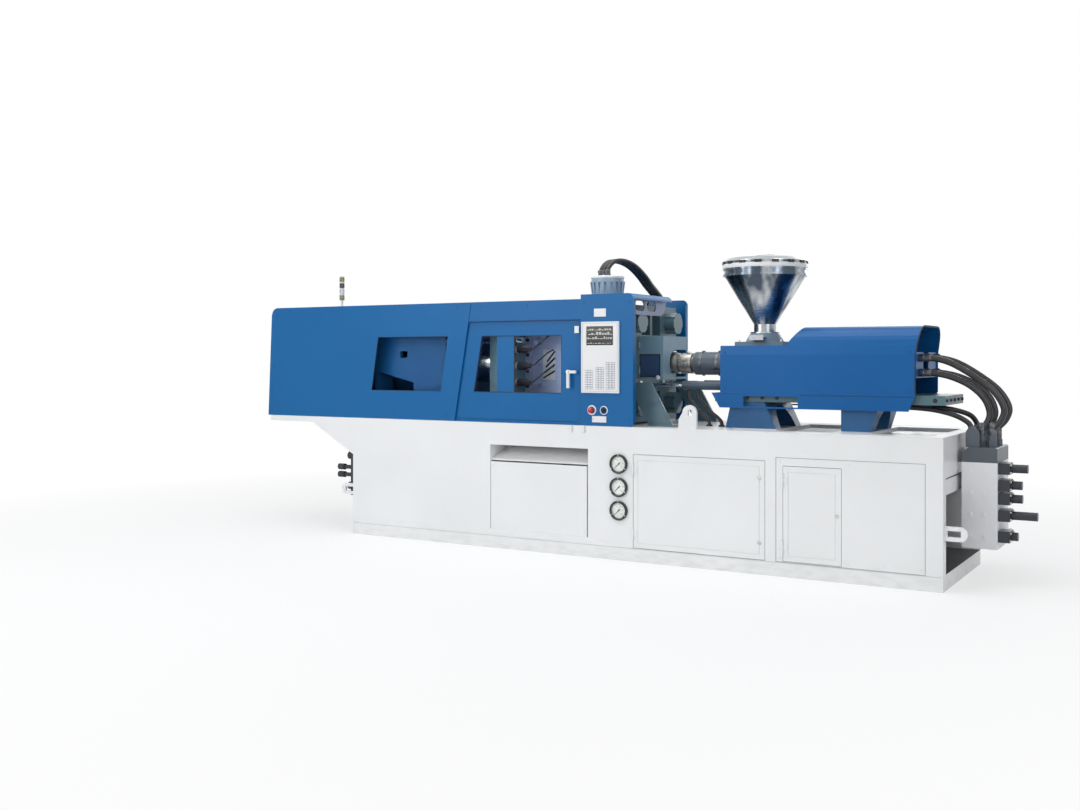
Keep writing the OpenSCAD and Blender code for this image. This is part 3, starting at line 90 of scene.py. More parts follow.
def white_for_the_camera(tree, lit, out, white_kind):
    """Shows plain white to the camera, through glass and in metal, over what lights the machine."""
    path = tree.nodes.new("ShaderNodeLightPath").outputs
    seen = path["Is Camera Ray"]
    for ray in ("Is Transmission Ray", "Is Glossy Ray"):
        seen = maths(tree, "MAXIMUM", seen, path[ray])
    white = step(tree, white_kind, {"Color": (1, 1, 1, 1)})
    mixed = step(tree, "ShaderNodeMixShader", {1: lit, 2: white})
    tree.links.new(mixed, out)
    return seen, mixed.node.inputs[0]


room = bpy.data.worlds.new("room")
room.use_nodes = True
room_tree = room.node_tree
sky = room_tree.nodes["Background"]
sky.inputs["Color"].default_value = (0.93, 0.96, 1, 1)
sky.inputs["Strength"].default_value = 0.37
seen, amount = white_for_the_camera(
    room_tree, sky.outputs[0], room_tree.nodes["World Output"].inputs[0], "ShaderNodeBackground")
room_tree.links.new(seen, amount)
bpy.context.scene.world = room

floor_paint = bpy.data.materials.new("studio_floor")
floor_paint.use_nodes = True
floor_tree = floor_paint.node_tree
floor_shader = floor_tree.nodes["Principled BSDF"]
floor_shader.inputs["Base Color"].default_value = (0.86, 0.87, 0.88, 1)
floor_shader.inputs["Roughness"].default_value = 0.9
floor_shader.inputs["Specular IOR Level"].default_value = 0.1
seen, amount = white_for_the_camera(floor_tree, floor_shader.outputs[0],
                                    floor_tree.nodes["Material Output"].inputs[0],
                                    "ShaderNodeEmission")
spot = step(floor_tree, "ShaderNodeTexCoord", give="Object")
away = step(floor_tree, "ShaderNodeVectorMath", {0: spot}, "Value", operation="LENGTH")
fade = step(floor_tree, "ShaderNodeMapRange", {
    "Value": away, "From Min": 2.5, "From Max": 6.5, "To Min": 0.62, "To Max": 1})
floor_tree.links.new(maths(floor_tree, "MULTIPLY", seen, fade), amount)
floor_mesh = bpy.data.meshes.new("studio_floor")
reach = 60
floor_mesh.from_pydata(
    [(-reach, -reach, 0), (reach, -reach, 0), (reach, reach, 0), (-reach, reach, 0)], [],
    [(0, 1, 2, 3)])
floor_mesh.materials.append(floor_paint)
studio_floor = bpy.data.objects.new("studio_floor", floor_mesh)
bpy.context.scene.collection.objects.link(studio_floor)

for name, place, aim, size, power in (
        ("overhead", (-0.5, -1.5, 6.5), (0, 0, 0.8), 5.0, 240),
        ("operator_side", (-3.5, -7.0, 3.6), (-0.3, 0, 1.0), 4.0, 170),
        ("injection_end", (6.5, -4.0, 3.0), (1.2, 0, 1.0), 3.0, 76),
        ("behind", (1.5, 6.5, 3.8), (0, 0, 1.2), 3.5, 94)):
    softbox = bpy.data.lights.new(name, "AREA")
    softbox.shape = "SQUARE"
    softbox.size = size
    softbox.energy = power
    lamp = bpy.data.objects.new(name, softbox)
    lamp.location = place
    lamp.rotation_euler = (Vector(aim) - Vector(place)).to_track_quat("-Z", "Y").to_euler()
    bpy.context.scene.collection.objects.link(lamp)

# Base: a welded cabinet of steel plate with the oil tank in it.
# It is sprayed in off-white enamel with a light orange peel, greyer and scuffed near the floor,
# and its top is the deck that everything else is bolted to.
base_white = (0.84, 0.845, 0.845)
floor_scuff = (0.60, 0.60, 0.59)
pump_bay_painted_shade = (0.05, 0.055, 0.06)


def shader_input(finish, name):
    """One of the shader's own sockets."""
    return finish.node_tree.nodes["Principled BSDF"].inputs[name]


def new_finish(name, colour, roughness, metallic=0.0, coat=0.0):
    """A material whose even values sit on the shader's own sockets."""
    finish = bpy.data.materials.new(name)
    finish.use_nodes = True
    for socket, value in (("Base Color", (*colour, 1)), ("Roughness", roughness),
                          ("Metallic", metallic), ("Coat Weight", coat),
                          ("Coat Roughness", 0.12)):
        shader_input(finish, socket).default_value = value
    return finish


def grain(finish, scale, stretch=(1, 1, 1), detail=4.0):
    """Noise over the object's own coordinates, stretched where tool marks run one way."""
    tree = finish.node_tree
    place = step(tree, "ShaderNodeTexCoord", give="Object")
    turned = step(tree, "ShaderNodeMapping", {"Vector": place, "Scale": stretch})
    return step(tree, "ShaderNodeTexNoise", {"Vector": turned, "Scale": scale, "Detail": detail})


def over(finish, signal, low, high, first, last):
    """Maps a signal from one range to another."""
    return step(finish.node_tree, "ShaderNodeMapRange", {
        "Value": signal, "From Min": low, "From Max": high, "To Min": first, "To Max": last})


def along(finish, axis):
    """The object's own X, Y or Z in metres."""
    place = step(finish.node_tree, "ShaderNodeTexCoord", give="Object")
    return step(finish.node_tree, "ShaderNodeSeparateXYZ", {0: place}, axis)


def product(finish, first, second):
    """Two signals multiplied."""
    return maths(finish.node_tree, "MULTIPLY", first, second)


def within(finish, axis, low, high):
    """One where the object's own coordinate lies between two values, else zero."""
    return step(finish.node_tree, "ShaderNodeMath", {
        0: along(finish, axis), 1: (low + high) / 2, 2: (high - low) / 2}, operation="COMPARE")


def colour_over(finish, signal, first, last, low=0.3, high=0.7):
    """Runs the base colour from the first to the last as the signal rises."""
    ramp = step(finish.node_tree, "ShaderNodeValToRGB", {"Fac": signal})
    for stop, at, colour in zip(ramp.node.color_ramp.elements, (low, high), (first, last)):
        stop.position = at
        stop.color = (*colour, 1)
    finish.node_tree.links.new(ramp, shader_input(finish, "Base Color"))


def stain(finish, signal, colour):
    """Lays a second colour over the one before, as strongly as the signal says."""
    base = shader_input(finish, "Base Color")
    mixed = step(finish.node_tree, "ShaderNodeMix", {
        0: signal, 6: base.links[0].from_socket, 7: (*colour, 1)}, 2, data_type="RGBA")
    finish.node_tree.links.new(mixed, base)


def rough_over(finish, signal, first, last):
    """Runs the roughness from the first to the last as the signal rises."""
    finish.node_tree.links.new(over(finish, signal, 0.3, 0.7, first, last),
                               shader_input(finish, "Roughness"))


def relief(finish, signal, strength, depth):
    """Adds bump in metres on top of the bump that is there."""
    normal = shader_input(finish, "Normal")
    feeds = {"Strength": strength, "Distance": depth, "Height": signal}
    if normal.links:
        feeds["Normal"] = normal.links[0].from_socket
    finish.node_tree.links.new(step(finish.node_tree, "ShaderNodeBump", feeds), normal)


def worked(name, colour, roughness, tones, gloss=None, skin=None, metallic=0.0,
           spread=(0.3, 0.7)):
    """A finish with uneven colour, gloss and skin: each gives two values, then its grain."""
    finish = new_finish(name, colour, roughness, metallic)
    colour_over(finish, grain(finish, *tones[2:]), *tones[:2], *spread)
    if gloss:
        rough_over(finish, grain(finish, *gloss[2:]), *gloss[:2])
    if skin:
        relief(finish, grain(finish, *skin[2:]), *skin[:2])
    return finish


def sprayed(name, colour, roughness, coat=0.25):
    """Sprayed enamel: slight shade from coat to coat, orange peel and finger smears."""
    finish = new_finish(name, colour, roughness, coat=coat)
    dark = tuple(0.94 * part for part in colour)
    pale = tuple(min(1, 1.03 * part + 0.002) for part in colour)
    colour_over(finish, grain(finish, 1.3), dark, pale, 0.25, 0.75)
    rough_over(finish, grain(finish, 1.7, detail=5), roughness - 0.02, roughness + 0.06)
    shader_input(finish, "Specular IOR Level").default_value = 0.25
    relief(finish, grain(finish, 190, detail=2), 0.18, 0.0004)
    return finish


def wears(finish, *names):
    """Puts a finish on nodes of the model."""
    for name in names:
        for slot in cad_node[name].material_slots:
            slot.material = finish


base_enamel = sprayed("base_enamel", base_white, 0.34)
scuffs = product(
    base_enamel, over(base_enamel, along(base_enamel, "Z"), 0.0, 0.16, 0.35, 0),
    over(base_enamel, grain(base_enamel, 9, (1, 1, 3), 9), 0.42, 0.62, 0, 1))
stain(base_enamel, scuffs, floor_scuff)
# The enamel inside the open pump bay is painted near black, as painted shade.
pump_bay = product(base_enamel, within(base_enamel, "Y", -0.479, 0.5475),
                   product(base_enamel, within(base_enamel, "X", 1.285, 2.4385),
                           within(base_enamel, "Z", 0.083, 0.5605)))
stain(base_enamel, pump_bay, pump_bay_painted_shade)
wears(base_enamel, "base_frame", "base_covers", "side_door", "cabinet_door")

# Base doors and covers: folded sheet, hung on lift-off hinges or screwed on.
# Each is held by painted screws or zinc quarter-turn locks, and a grey rubber seal shows as a
# thin line round it.
front_face = -0.560
to_operator, to_rear = (0, -1, 0), (0, 1, 0)


def add_box(mesh, low, high):
    """A box between two corners."""
    made = bmesh.ops.create_cube(mesh, size=1)["verts"]
    for corner in made:
        corner.co = Vector([l + (c + 0.5) * (h - l) for c, l, h in zip(corner.co, low, high)])
    return mesh


def skinned(mesh, rings):
    """Closes the side faces between rings of points."""
    for here, there in zip(rings, rings[1:]):
        for k in range(len(here)):
            n = (k + 1) % len(here)
            mesh.faces.new((here[k], here[n], there[n], there[k]))


def add_turned(mesh, centre, axis, profile, sides=48):
    """A turned piece: the profile is a closed list of distance along the axis and radius."""
    axis = Vector(axis).normalized()
    side = axis.orthogonal().normalized()
    across = axis.cross(side)
    rings = []
    for number in range(sides):
        angle = math.tau * number / sides
        out = math.cos(angle) * side + math.sin(angle) * across
        rings.append([mesh.verts.new(Vector(centre) + a * axis + r * out) for a, r in profile])
    skinned(mesh, rings + rings[:1])
    return mesh


def placed(name, data):
    """A piece at the origin that holds a mesh."""
    piece = bpy.data.objects.new(name, data)
    bpy.context.scene.collection.objects.link(piece)
    return piece


def fitted(name, mesh, finish, body="base", bevel=0.0, angle=35, merge=True):
    """Turns built geometry into a finished piece that rides on a body."""
    if merge:
        bmesh.ops.remove_doubles(mesh, verts=mesh.verts, dist=0.00001)
        bmesh.ops.recalc_face_normals(mesh, faces=mesh.faces)
    data = bpy.data.meshes.new(name)
    mesh.to_mesh(data)
    mesh.free()
    data.materials.append(finish)
    data.shade_smooth()
    data.set_sharp_from_angle(angle=math.radians(angle))
    piece = placed(name, data)
    if bevel:
        edge = piece.modifiers.new("bevel", "BEVEL")
        edge.width = bevel
        edge.segments = 2
        edge.limit_method = "ANGLE"
        edge.angle_limit = math.radians(40)
    if body:
        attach(piece, body)
    return piece


def tree_for_points(name, sizes):
    """A node tree that takes points, named sizes and a finish, and what its inputs give."""
    tree = bpy.data.node_groups.new(name, "GeometryNodeTree")
    kinds = {float: "Float", int: "Int", tuple: "Vector", type(None): "Material"}
    tree.interface.new_socket("Geometry", in_out="INPUT", socket_type="NodeSocketGeometry")
    for word, value in {**sizes, "Finish": None}.items():
        socket = tree.interface.new_socket(word, in_out="INPUT",
                                           socket_type="NodeSocket" + kinds[type(value)])
        if value is not None:
            socket.default_value = value
    tree.interface.new_socket("Geometry", in_out="OUTPUT", socket_type="NodeSocketGeometry")
    return tree, tree.nodes.new("NodeGroupInput").outputs


def on_each_point(tree, given, points, shape, **turns):
    """Ends a tree: the shape set on each point, made real and given its finish."""
    spread = step(tree, "GeometryNodeInstanceOnPoints", {
        "Points": points, "Instance": shape, **turns})
    real = step(tree, "GeometryNodeRealizeInstances", {0: spread})
    dressed = step(tree, "GeometryNodeSetMaterial", {
        "Geometry": real, "Material": given["Finish"]})
    tree.links.new(dressed, tree.nodes.new("NodeGroupOutput").inputs[0])
    return tree


def plated_screws():
    """Node tree: a screw head with its washer on every point, facing one way."""
    tree, given = tree_for_points("plated_screws", {
        "Head radius": 0.008, "Head height": 0.006, "Washer radius": 0.011, "Sides": 6,
        "Facing": (0, -1, 0)})
    head = step(tree, "GeometryNodeMeshCylinder", {
        "Radius": given["Head radius"], "Depth": given["Head height"],
        "Vertices": given["Sides"]})
    washer = step(tree, "GeometryNodeMeshCylinder", {
        "Radius": given["Washer radius"], "Depth": 0.003, "Vertices": 16})
    lift = step(tree, "ShaderNodeCombineXYZ", {"Z": given["Head height"]})
    raised = step(tree, "GeometryNodeTransform", {"Geometry": head, "Translation": lift})
    screw = step(tree, "GeometryNodeJoinGeometry", {0: raised})
    tree.links.new(washer, screw.node.inputs[0])
    turn = step(tree, "FunctionNodeAlignRotationToVector", {"Vector": given["Facing"]}, axis="Z")
    return on_each_point(tree, given, given["Geometry"], screw, Rotation=turn)


def made_by_nodes(name, places, tree, sizes, body="base"):
    """Runs a node tree on points and keeps the result as a plain mesh."""
    data = bpy.data.meshes.new(name)
    data.from_pydata(places, [], [])
    piece = placed(name, data)
    maker = piece.modifiers.new("maker", "NODES")
    maker.node_group = tree
    for item in tree.interface.items_tree:
        if item.in_out == "INPUT" and item.name in sizes:
            maker[item.identifier] = sizes[item.name]
    view = bpy.context.evaluated_depsgraph_get()
    plain = bpy.data.meshes.new_from_object(piece.evaluated_get(view))
    piece.modifiers.remove(maker)
    piece.data = plain
    plain.shade_smooth()
    plain.set_sharp_from_angle(angle=math.radians(35))
    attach(piece, body)
    return piece


screw_tree = plated_screws()
zinc = worked("bright_zinc", (0.62, 0.63, 0.64), 0.32,
              ((0.50, 0.52, 0.54), (0.70, 0.70, 0.68), 60), (0.24, 0.44, 140), metallic=1)


def screws(name, places, facing, radius=0.006, body="base", finish=zinc, sides=6, height=0.004):
    """Screw heads at the given places, seated on the face that they hold."""
    return made_by_nodes(name, places, screw_tree, {
        "Head radius": radius, "Head height": height, "Washer radius": radius * 1.45,
        "Sides": sides, "Facing": facing, "Finish": finish}, body)


def painted_screws(name, places, facing, finish, body="base"):
    """Small round heads, sprayed over with the sheet that they hold."""
    return screws(name, places, facing, 0.0045, body, finish, 16, 0.002)


def frame_of_strip(mesh, low, high, width, depth):
    """A flat frame in X and Z round a rectangle, standing out from a front face."""
    (x0, y, z0), (x1, _, z1) = low, high
    for a, b in (((x0, z0), (x1, z0 + width)), ((x0, z1 - width), (x1, z1)),
                 ((x0, z0 + width), (x0 + width, z1 - width)),
                 ((x1 - width, z0 + width), (x1, z1 - width))):
        add_box(mesh, (a[0], y - depth, a[1]), (b[0], y, b[1]))
    return mesh


def row(first, last, count):
    """Evenly spaced values, both ends included."""
    return [first + (last - first) * i / (count - 1) for i in range(count)]


seal_rubber = worked("seal_rubber", (0.018, 0.018, 0.02), 0.75,
                     ((0.012, 0.012, 0.013), (0.035, 0.035, 0.036), 30),
                     skin=(0.2, 0.0004, 400))
grey_seal = worked("grey_seal", (0.30, 0.305, 0.31), 0.7,
                   ((0.26, 0.265, 0.27), (0.34, 0.345, 0.35), 30))
cover_x = (1.433, 2.338)
cover_z = (0.093, 0.741)
seals = bmesh.new()
frame_of_strip(seals, (cover_x[0] - 0.003, front_face + 0.0004, cover_z[0] - 0.002),
               (cover_x[1] + 0.003, front_face, cover_z[1] + 0.003), 0.003, 0.0012)
frame_of_strip(seals, (0.4365, front_face + 0.0004, 0.0915), (1.3605, front_face, 0.7205),
               0.0022, 0.0012)
fitted("base_cover_seals", seals, grey_seal)
edge = 0.022
painted_screws("electrical_cover_screws",
               [(x, front_face - 0.0015, z) for x in row(cover_x[0] + edge, cover_x[1] - edge, 5)
                for z in (cover_z[0] + edge, cover_z[1] - edge) if not 1.5 < x < 1.83]
               + [(cover_x[1] - edge, front_face - 0.0015, z) for z in (0.25, 0.42, 0.58)],
               to_operator, base_enamel)
chute_cover = 0.5525
chute_screws = [(x, z) for x in (-0.69, 0.06) for z in (0.16, 0.38, 0.60)]
screws("chute_cover_screws", [(x, -chute_cover, z) for x, z in chute_screws],
       to_operator, 0.0045, finish=base_enamel, height=0.002)
screws("rear_chute_cover_screws", [(x, chute_cover, z) for x, z in chute_screws], to_rear)


def quarter_turn_locks(name, places, body):
    """A round zinc lock with its slotted key barrel."""
    locks = bmesh.new()
    for x, z in places:
        add_turned(locks, (x, front_face, z), to_operator,
                   [(0, 0), (0, 0.013), (0.003, 0.013), (0.005, 0.011), (0.005, 0.008),
                    (0.0035, 0.007), (0.0035, 0)], 32)
        add_box(locks, (x - 0.0065, front_face - 0.006, z - 0.0012),
                (x + 0.0065, front_face - 0.0035, z + 0.0012))
    return fitted(name, locks, zinc, body, merge=False)


quarter_turn_locks("side_door_locks", [(1.324, 0.20), (1.324, 0.61)], "side_door")
quarter_turn_locks("cabinet_door_locks", [(1.818, 0.40)], "cabinet_door")

# Base seams: the welds where the deck, the posts and the plinth meet.
# They are ground beads under the paint, and the top of the tank has wells that catch drips of oil.
# The wells' floors are grey steel sheets, darker than the deck as painted shade.


def add_tube(mesh, points, radius, sides=12):
    """A round tube through the points, with its ends closed."""
    points = [Vector(p) for p in points]
    side = (points[1] - points[0]).orthogonal().normalized()
    rings = []
    for i, point in enumerate(points):
        ahead = points[min(i + 1, len(points) - 1)] - points[max(i - 1, 0)]
        ahead.normalize()
        side = (side - side.dot(ahead) * ahead).normalized()
        across = ahead.cross(side)
        rings.append([mesh.verts.new(point + radius * (
            math.cos(math.tau * k / sides) * side + math.sin(math.tau * k / sides) * across))
            for k in range(sides)])
    skinned(mesh, rings)
    mesh.faces.new(rings[0][::-1])
    mesh.faces.new(rings[-1])
    return mesh


weld_paint = sprayed("weld_paint", base_white, 0.4)
relief(weld_paint, grain(weld_paint, 160, (1, 1, 1), 1), 0.5, 0.002)
deck_edge, post_edge = 0.5598, 0.548
welds = bmesh.new()
for y in (-deck_edge, deck_edge):
    add_tube(welds, [(x, y, 0.8985) for x in row(-1.99, 2.44, 60)], 0.0022, 6)
add_tube(welds, [(2.4398, y, 0.8985) for y in row(-0.56, 0.56, 20)], 0.0022, 6)
for y in (-post_edge, post_edge):
    add_tube(welds, [(2.4403, y, z) for z in row(0.1, 0.89, 20)], 0.002, 6)
    add_tube(welds, [(-1.9903, y, z) for z in row(0.1, 0.85, 20)], 0.002, 6)
for x in (0.759, 0.886):
    for y in (-0.5405, 0.5195):
        add_tube(welds, [(x - 0.003, y, 0.9012), (x + 0.002, y, 0.9012)], 0.004, 6)
fitted("base_welds", welds, weld_paint)

# Grey sheets on the wells' floors: their darkness is painted shade.
deck_well_shade = worked("deck_well_shade", (0.42, 0.43, 0.44), 0.4,
                   ((0.27, 0.27, 0.27), (0.50, 0.51, 0.52), 7, (1, 1, 1), 8),
                   (0.25, 0.6, 12, (1, 1, 1), 6), metallic=0.6)
trays = bmesh.new()
for (x0, x1), (y0, y1) in (((1.342, 1.738), (-0.398, 0.398)), ((1.042, 1.335), (-0.398, -0.292)),
                           ((1.947, 2.353), (-0.398, 0.398))):
    add_box(trays, (x0, y0, 0.8751), (x1, y1, 0.8772))
fitted("deck_trays", trays, deck_well_shade)

# Chute and lugs: a pale sloping plate in front of the drop shaft leads pieces out on the
# operator's side, and two small lugs on the base's edge stop the gate.
# All are folded or turned steel, sprayed with the base.
chute_plate = bmesh.new()
spots = [chute_plate.verts.new((x, y, z)) for x in (-0.7105, 0.0815) for y, z in (
    (-0.272, 0.742), (-0.545, 0.634), (-0.545, 0.630), (-0.272, 0.738))]
skinned(chute_plate, (spots[:4], spots[4:]))
chute_plate.faces.new(spots[:4])
chute_plate.faces.new(spots[4:])
fitted("chute_plate", chute_plate, base_enamel)
lug_back, lug_z = -0.5602, 0.862
lugs = bmesh.new()
for x in (-0.036, 0.062):
    add_box(lugs, (x - 0.006, -0.5750, lug_z), (x + 0.006, lug_back, 0.899))
    add_turned(lugs, (x, lug_back, lug_z), to_operator,
               [(0, 0.0001), (0, 0.0105), (0.012, 0.0105), (0.014, 0.008), (0.014, 0.0001)], 16)
fitted("gate_stop_lugs", lugs, base_enamel, merge=False)

# Gauges: three 100 mm panel gauges with a black steel rim and an enamelled white dial.
# The dial has 41 marks over 270 degrees and a few numbers, and a domed glass lies over it.
gauge_x = 0.331
gauge_heights = (0.336, 0.493, 0.650)
dial_white = worked("dial_white", (0.86, 0.86, 0.83), 0.45,
                    ((0.80, 0.80, 0.76), (0.90, 0.90, 0.87), 20))
dial_ink = new_finish("dial_ink", (0.02, 0.02, 0.02), 0.5)
rough_over(dial_ink, grain(dial_ink, 90), 0.4, 0.6)
rim_black = sprayed("rim_black", (0.02, 0.021, 0.023), 0.28, 0.4)
wears(rim_black, "gauge_cases")
needle_black = sprayed("needle_black", (0.015, 0.015, 0.016), 0.4)
wears(needle_black, "gauge_needle_top", "gauge_needle_middle", "gauge_needle_bottom")


def clear(name, tint, roughness, bend, scale, first, last):
    """A pane or lens that light passes through, wiped to an uneven gloss."""
    finish = new_finish(name, tint, roughness)
    shader_input(finish, "Transmission Weight").default_value = 1
    shader_input(finish, "IOR").default_value = bend
    rough_over(finish, grain(finish, scale), first, last)
    return finish


clear_glass = clear("clear_glass", (0.96, 0.98, 0.98), 0.02, 1.12, 8, 0.01, 0.05)


def add_bar(mesh, start, end, radius, sides=24):
    """A round bar between two points."""
    start, end = Vector(start), Vector(end)
    made = bmesh.ops.create_cone(mesh, cap_ends=True, segments=sides, radius1=radius,
                                 radius2=radius, depth=(end - start).length)
    turn = (end - start).to_track_quat("Z", "Y").to_matrix().to_4x4()
    bmesh.ops.transform(mesh, matrix=Matrix.Translation((start + end) / 2) @ turn,
                        verts=made["verts"])
    return mesh


def dial_marks():
    """Node tree: marks set round part of a circle, every fifth one longer."""
    tree, given = tree_for_points("dial_marks", {
        "Mark count": 41, "Dial radius": 0.044, "Sweep": math.radians(270),
        "Mark length": 0.005, "Mark width": 0.0007})
    marks = step(tree, "GeometryNodeMeshLine", {"Count": given["Mark count"]}, mode="OFFSET")
    index = step(tree, "GeometryNodeInputIndex")
    share = maths(tree, "DIVIDE", index, maths(tree, "SUBTRACT", given["Mark count"], 1))
    angle = maths(tree, "ADD", maths(tree, "MULTIPLY", share, given["Sweep"]),
                  math.radians(-45))
    outward = step(tree, "ShaderNodeCombineXYZ", {
        "X": step(tree, "ShaderNodeMath", {0: angle}, operation="COSINE"),
        "Y": step(tree, "ShaderNodeMath", {0: angle}, operation="SINE")})
    spot = step(tree, "ShaderNodeVectorMath", {0: outward, "Scale": given["Dial radius"]},
                operation="SCALE")
    round_dial = step(tree, "GeometryNodeSetPosition", {"Geometry": marks, "Position": spot})
    is_fifth = maths(tree, "LESS_THAN", maths(tree, "MODULO", index, 5), 0.5)
    size = step(tree, "ShaderNodeCombineXYZ", {
        "X": maths(tree, "ADD", is_fifth, 1), "Y": 1, "Z": 1})
    bar = step(tree, "GeometryNodeMeshCube", {"Size": step(tree, "ShaderNodeCombineXYZ", {
        "X": given["Mark length"], "Y": given["Mark width"], "Z": 0.0006})})
    turn = step(tree, "FunctionNodeAlignRotationToVector", {"Vector": outward},
                axis="X", pivot_axis="Z")
    return on_each_point(tree, given, round_dial, bar, Rotation=turn, Scale=size)


def printed(text, height, place):
    """Flat letters on a face towards the operator, as a plain mesh."""
    letters = bpy.data.curves.new("print", "FONT")
    letters.body = text
    letters.size = height
    letters.align_x = "CENTER"
    letters.align_y = "CENTER"
    letters.extrude = 0.0002
    holder = bpy.data.objects.new("print", letters)
    bpy.context.scene.collection.objects.link(holder)
    view = bpy.context.evaluated_depsgraph_get()
    data = bpy.data.meshes.new_from_object(holder.evaluated_get(view))
    bpy.data.objects.remove(holder)
    data.transform(Matrix.Translation(place) @ upright)
    return data


upright = Matrix.Rotation(math.radians(90), 4, "X")
marks_tree = dial_marks()
dial_back, dial_front, marks_front = -0.5629, -0.5636, -0.5638
lens_back, rim_back, flange_front = -0.5705, -0.574, -0.577
dial_radius, figure_ring, screw_ring = 0.0516, 0.031, 0.0605
for level, z in zip(("bottom", "middle", "top"), gauge_heights):
    dial = add_bar(bmesh.new(), (gauge_x, dial_back, z), (gauge_x, dial_front, z), dial_radius, 64)
    fitted("gauge_dial_" + level, dial, dial_white)
    marks = made_by_nodes("gauge_marks_" + level, [(0, 0, 0)], marks_tree, {"Finish": dial_ink})
    marks.data.transform(Matrix.Translation((gauge_x, marks_front, z)) @ upright)
    figures = bmesh.new()
    for value in range(0, 6):
        turned = math.radians(225 - 54 * value)
        spot = (gauge_x + figure_ring * math.cos(turned), marks_front,
                z + figure_ring * math.sin(turned))
        figures.from_mesh(printed(str(value * 5), 0.0085, spot))
    fitted("gauge_figures_" + level, figures, dial_ink, merge=False)
    rim = add_turned(bmesh.new(), (gauge_x, rim_back, z), to_operator,
                     [(-0.002, 0.052), (-0.002, 0.0655), (0.0012, 0.0655), (0.003, 0.063),
                      (0.003, 0.056), (0.001, 0.052)], 64)
    fitted("gauge_rim_" + level, rim, rim_black, merge=False)
    lens = add_turned(bmesh.new(), (gauge_x, lens_back, z), to_operator,
                      [(0, 0.0001), (0, 0.0518), (0.0016, 0.0518), (0.0022, 0.03),
                       (0.0024, 0.0001)])
    fitted("gauge_lens_" + level, lens, clear_glass)
screws("gauge_flange_screws",
       [(gauge_x + screw_ring * math.cos(a), flange_front, z + screw_ring * math.sin(a))
        for z in gauge_heights for a in (math.radians(90), math.radians(210), math.radians(330))],
       to_operator, 0.0028, height=0.0016, sides=12)

# Electrical gear: contactors and drives on a galvanised plate behind the electrical door.
# The plate is fixed inside the bay, and zinc crystals give it a pale spangle.
galvanised = worked("galvanised", (0.50, 0.51, 0.51), 0.45,
                    ((0.40, 0.41, 0.42), (0.62, 0.63, 0.63), 22, (1, 1, 1), 1),
                    (0.3, 0.6, 22, (1, 1, 1), 1), metallic=0.85)
wears(galvanised, "cabinet_plate")

# Pump and motor: a finned electric motor with its pump on one bed, in blue-grey enamel.
# Both are iron castings, bolted to the bed as one set.


def cast(name, colour, roughness, coat, strength, depth, scale=26, detail=5):
    """Enamel over a cast skin, whose lumps show through the paint."""
    finish = sprayed(name, colour, roughness, coat)
    relief(finish, grain(finish, scale, detail=detail), strength, depth)
    return finish


wears(cast("pump_grey", (0.10, 0.14, 0.18), 0.4, 0.25, 0.3, 0.001, 60, 4), "pump_motor")

# Clamp castings: fixed, moving and tail platens and the braces, cast iron in grey-green enamel.
# The paint fills the cast skin unevenly, and oil darkens it in patches.
platen_green = (0.115, 0.195, 0.235)
platen_enamel = cast("platen_enamel", platen_green, 0.38, 0.2, 0.35, 0.0016)
stain(platen_enamel, over(platen_enamel, grain(platen_enamel, 4, (1, 1, 2), 9), 0.52, 0.7, 0, 0.4),
      (0.055, 0.085, 0.10))
wears(platen_enamel, "fixed_platen", "moving_platen", "platen_braces")
wears(cast("tail_enamel", (0.006, 0.085, 0.24), 0.42, 0.1, 0.35, 0.0016),
      "tail_platen", "main_cylinder")

# Bars and ram: ground and chromed steel, with an oil film that smears along them.
# The tie bars pass through the platens, and their nuts at the fixed platen wear its colour.
chromed = worked("chromed_bar", (0.66, 0.68, 0.70), 0.16,
                 ((0.50, 0.53, 0.56), (0.74, 0.75, 0.76), 12, (6, 1, 1), 6),
                 (0.09, 0.28, 22, (8, 1, 1), 8), (0.12, 0.0001, 700, (12, 1, 1), 1), metallic=1)
wears(chromed, "safety_bar", "clamp_ram", "carriage_rods")
tie_steel = chromed.copy()
tie_steel.name = "tie_bar_steel"
nuts = within(tie_steel, "X", 0.3002, 0.45)
stain(tie_steel, nuts, platen_green)
tie_steel.node_tree.links.new(over(tie_steel, nuts, 0, 1, 1, 0),
                              shader_input(tie_steel, "Metallic"))
wears(tie_steel, "tie_bars")
ground_steel = worked("ground_steel", (0.36, 0.37, 0.39), 0.36,
                      ((0.26, 0.27, 0.29), (0.44, 0.45, 0.47), 40, (1, 1, 14), 6),
                      (0.28, 0.46, 60, (1, 1, 20), 4), metallic=0.9)
wears(ground_steel, "ejector_plate")

# Mould: two blocks of pre-hardened steel, ground on their faces, with a violet-grey sheen.
# They are clamped by their side plates, and carry water connectors and cam slots.
mould_steel = worked("mould_steel", (0.36, 0.42, 0.60), 0.42,
                     ((0.31, 0.365, 0.53), (0.41, 0.475, 0.67), 14, (1, 1, 9), 8),
                     (0.32, 0.50, 90, (1, 1, 24), 4), (0.15, 0.0002, 320, (1, 1, 30), 1),
                     metallic=0.1)
wears(mould_steel, "mould_moving_half", "mould_fixed_half")
black_oxide = worked("black_oxide", (0.025, 0.026, 0.03), 0.4,
                     ((0.016, 0.017, 0.02), (0.045, 0.046, 0.05), 70), (0.3, 0.55, 160),
                     metallic=0.5)
tool_x = -0.600
axis_z = 1.326
mould_half_width = 0.230
for name, x, body in (("mould_clamp_bolts", tool_x + 0.022, "platen"),
                      ("mould_fixed_bolts", 0.038, "base")):
    screws(name, [(x, -(mould_half_width + 0.031), axis_z + z)
                  for z in (-0.17, -0.06, 0.06, 0.17)],
           to_operator, 0.009, body, black_oxide, 12, 0.010)

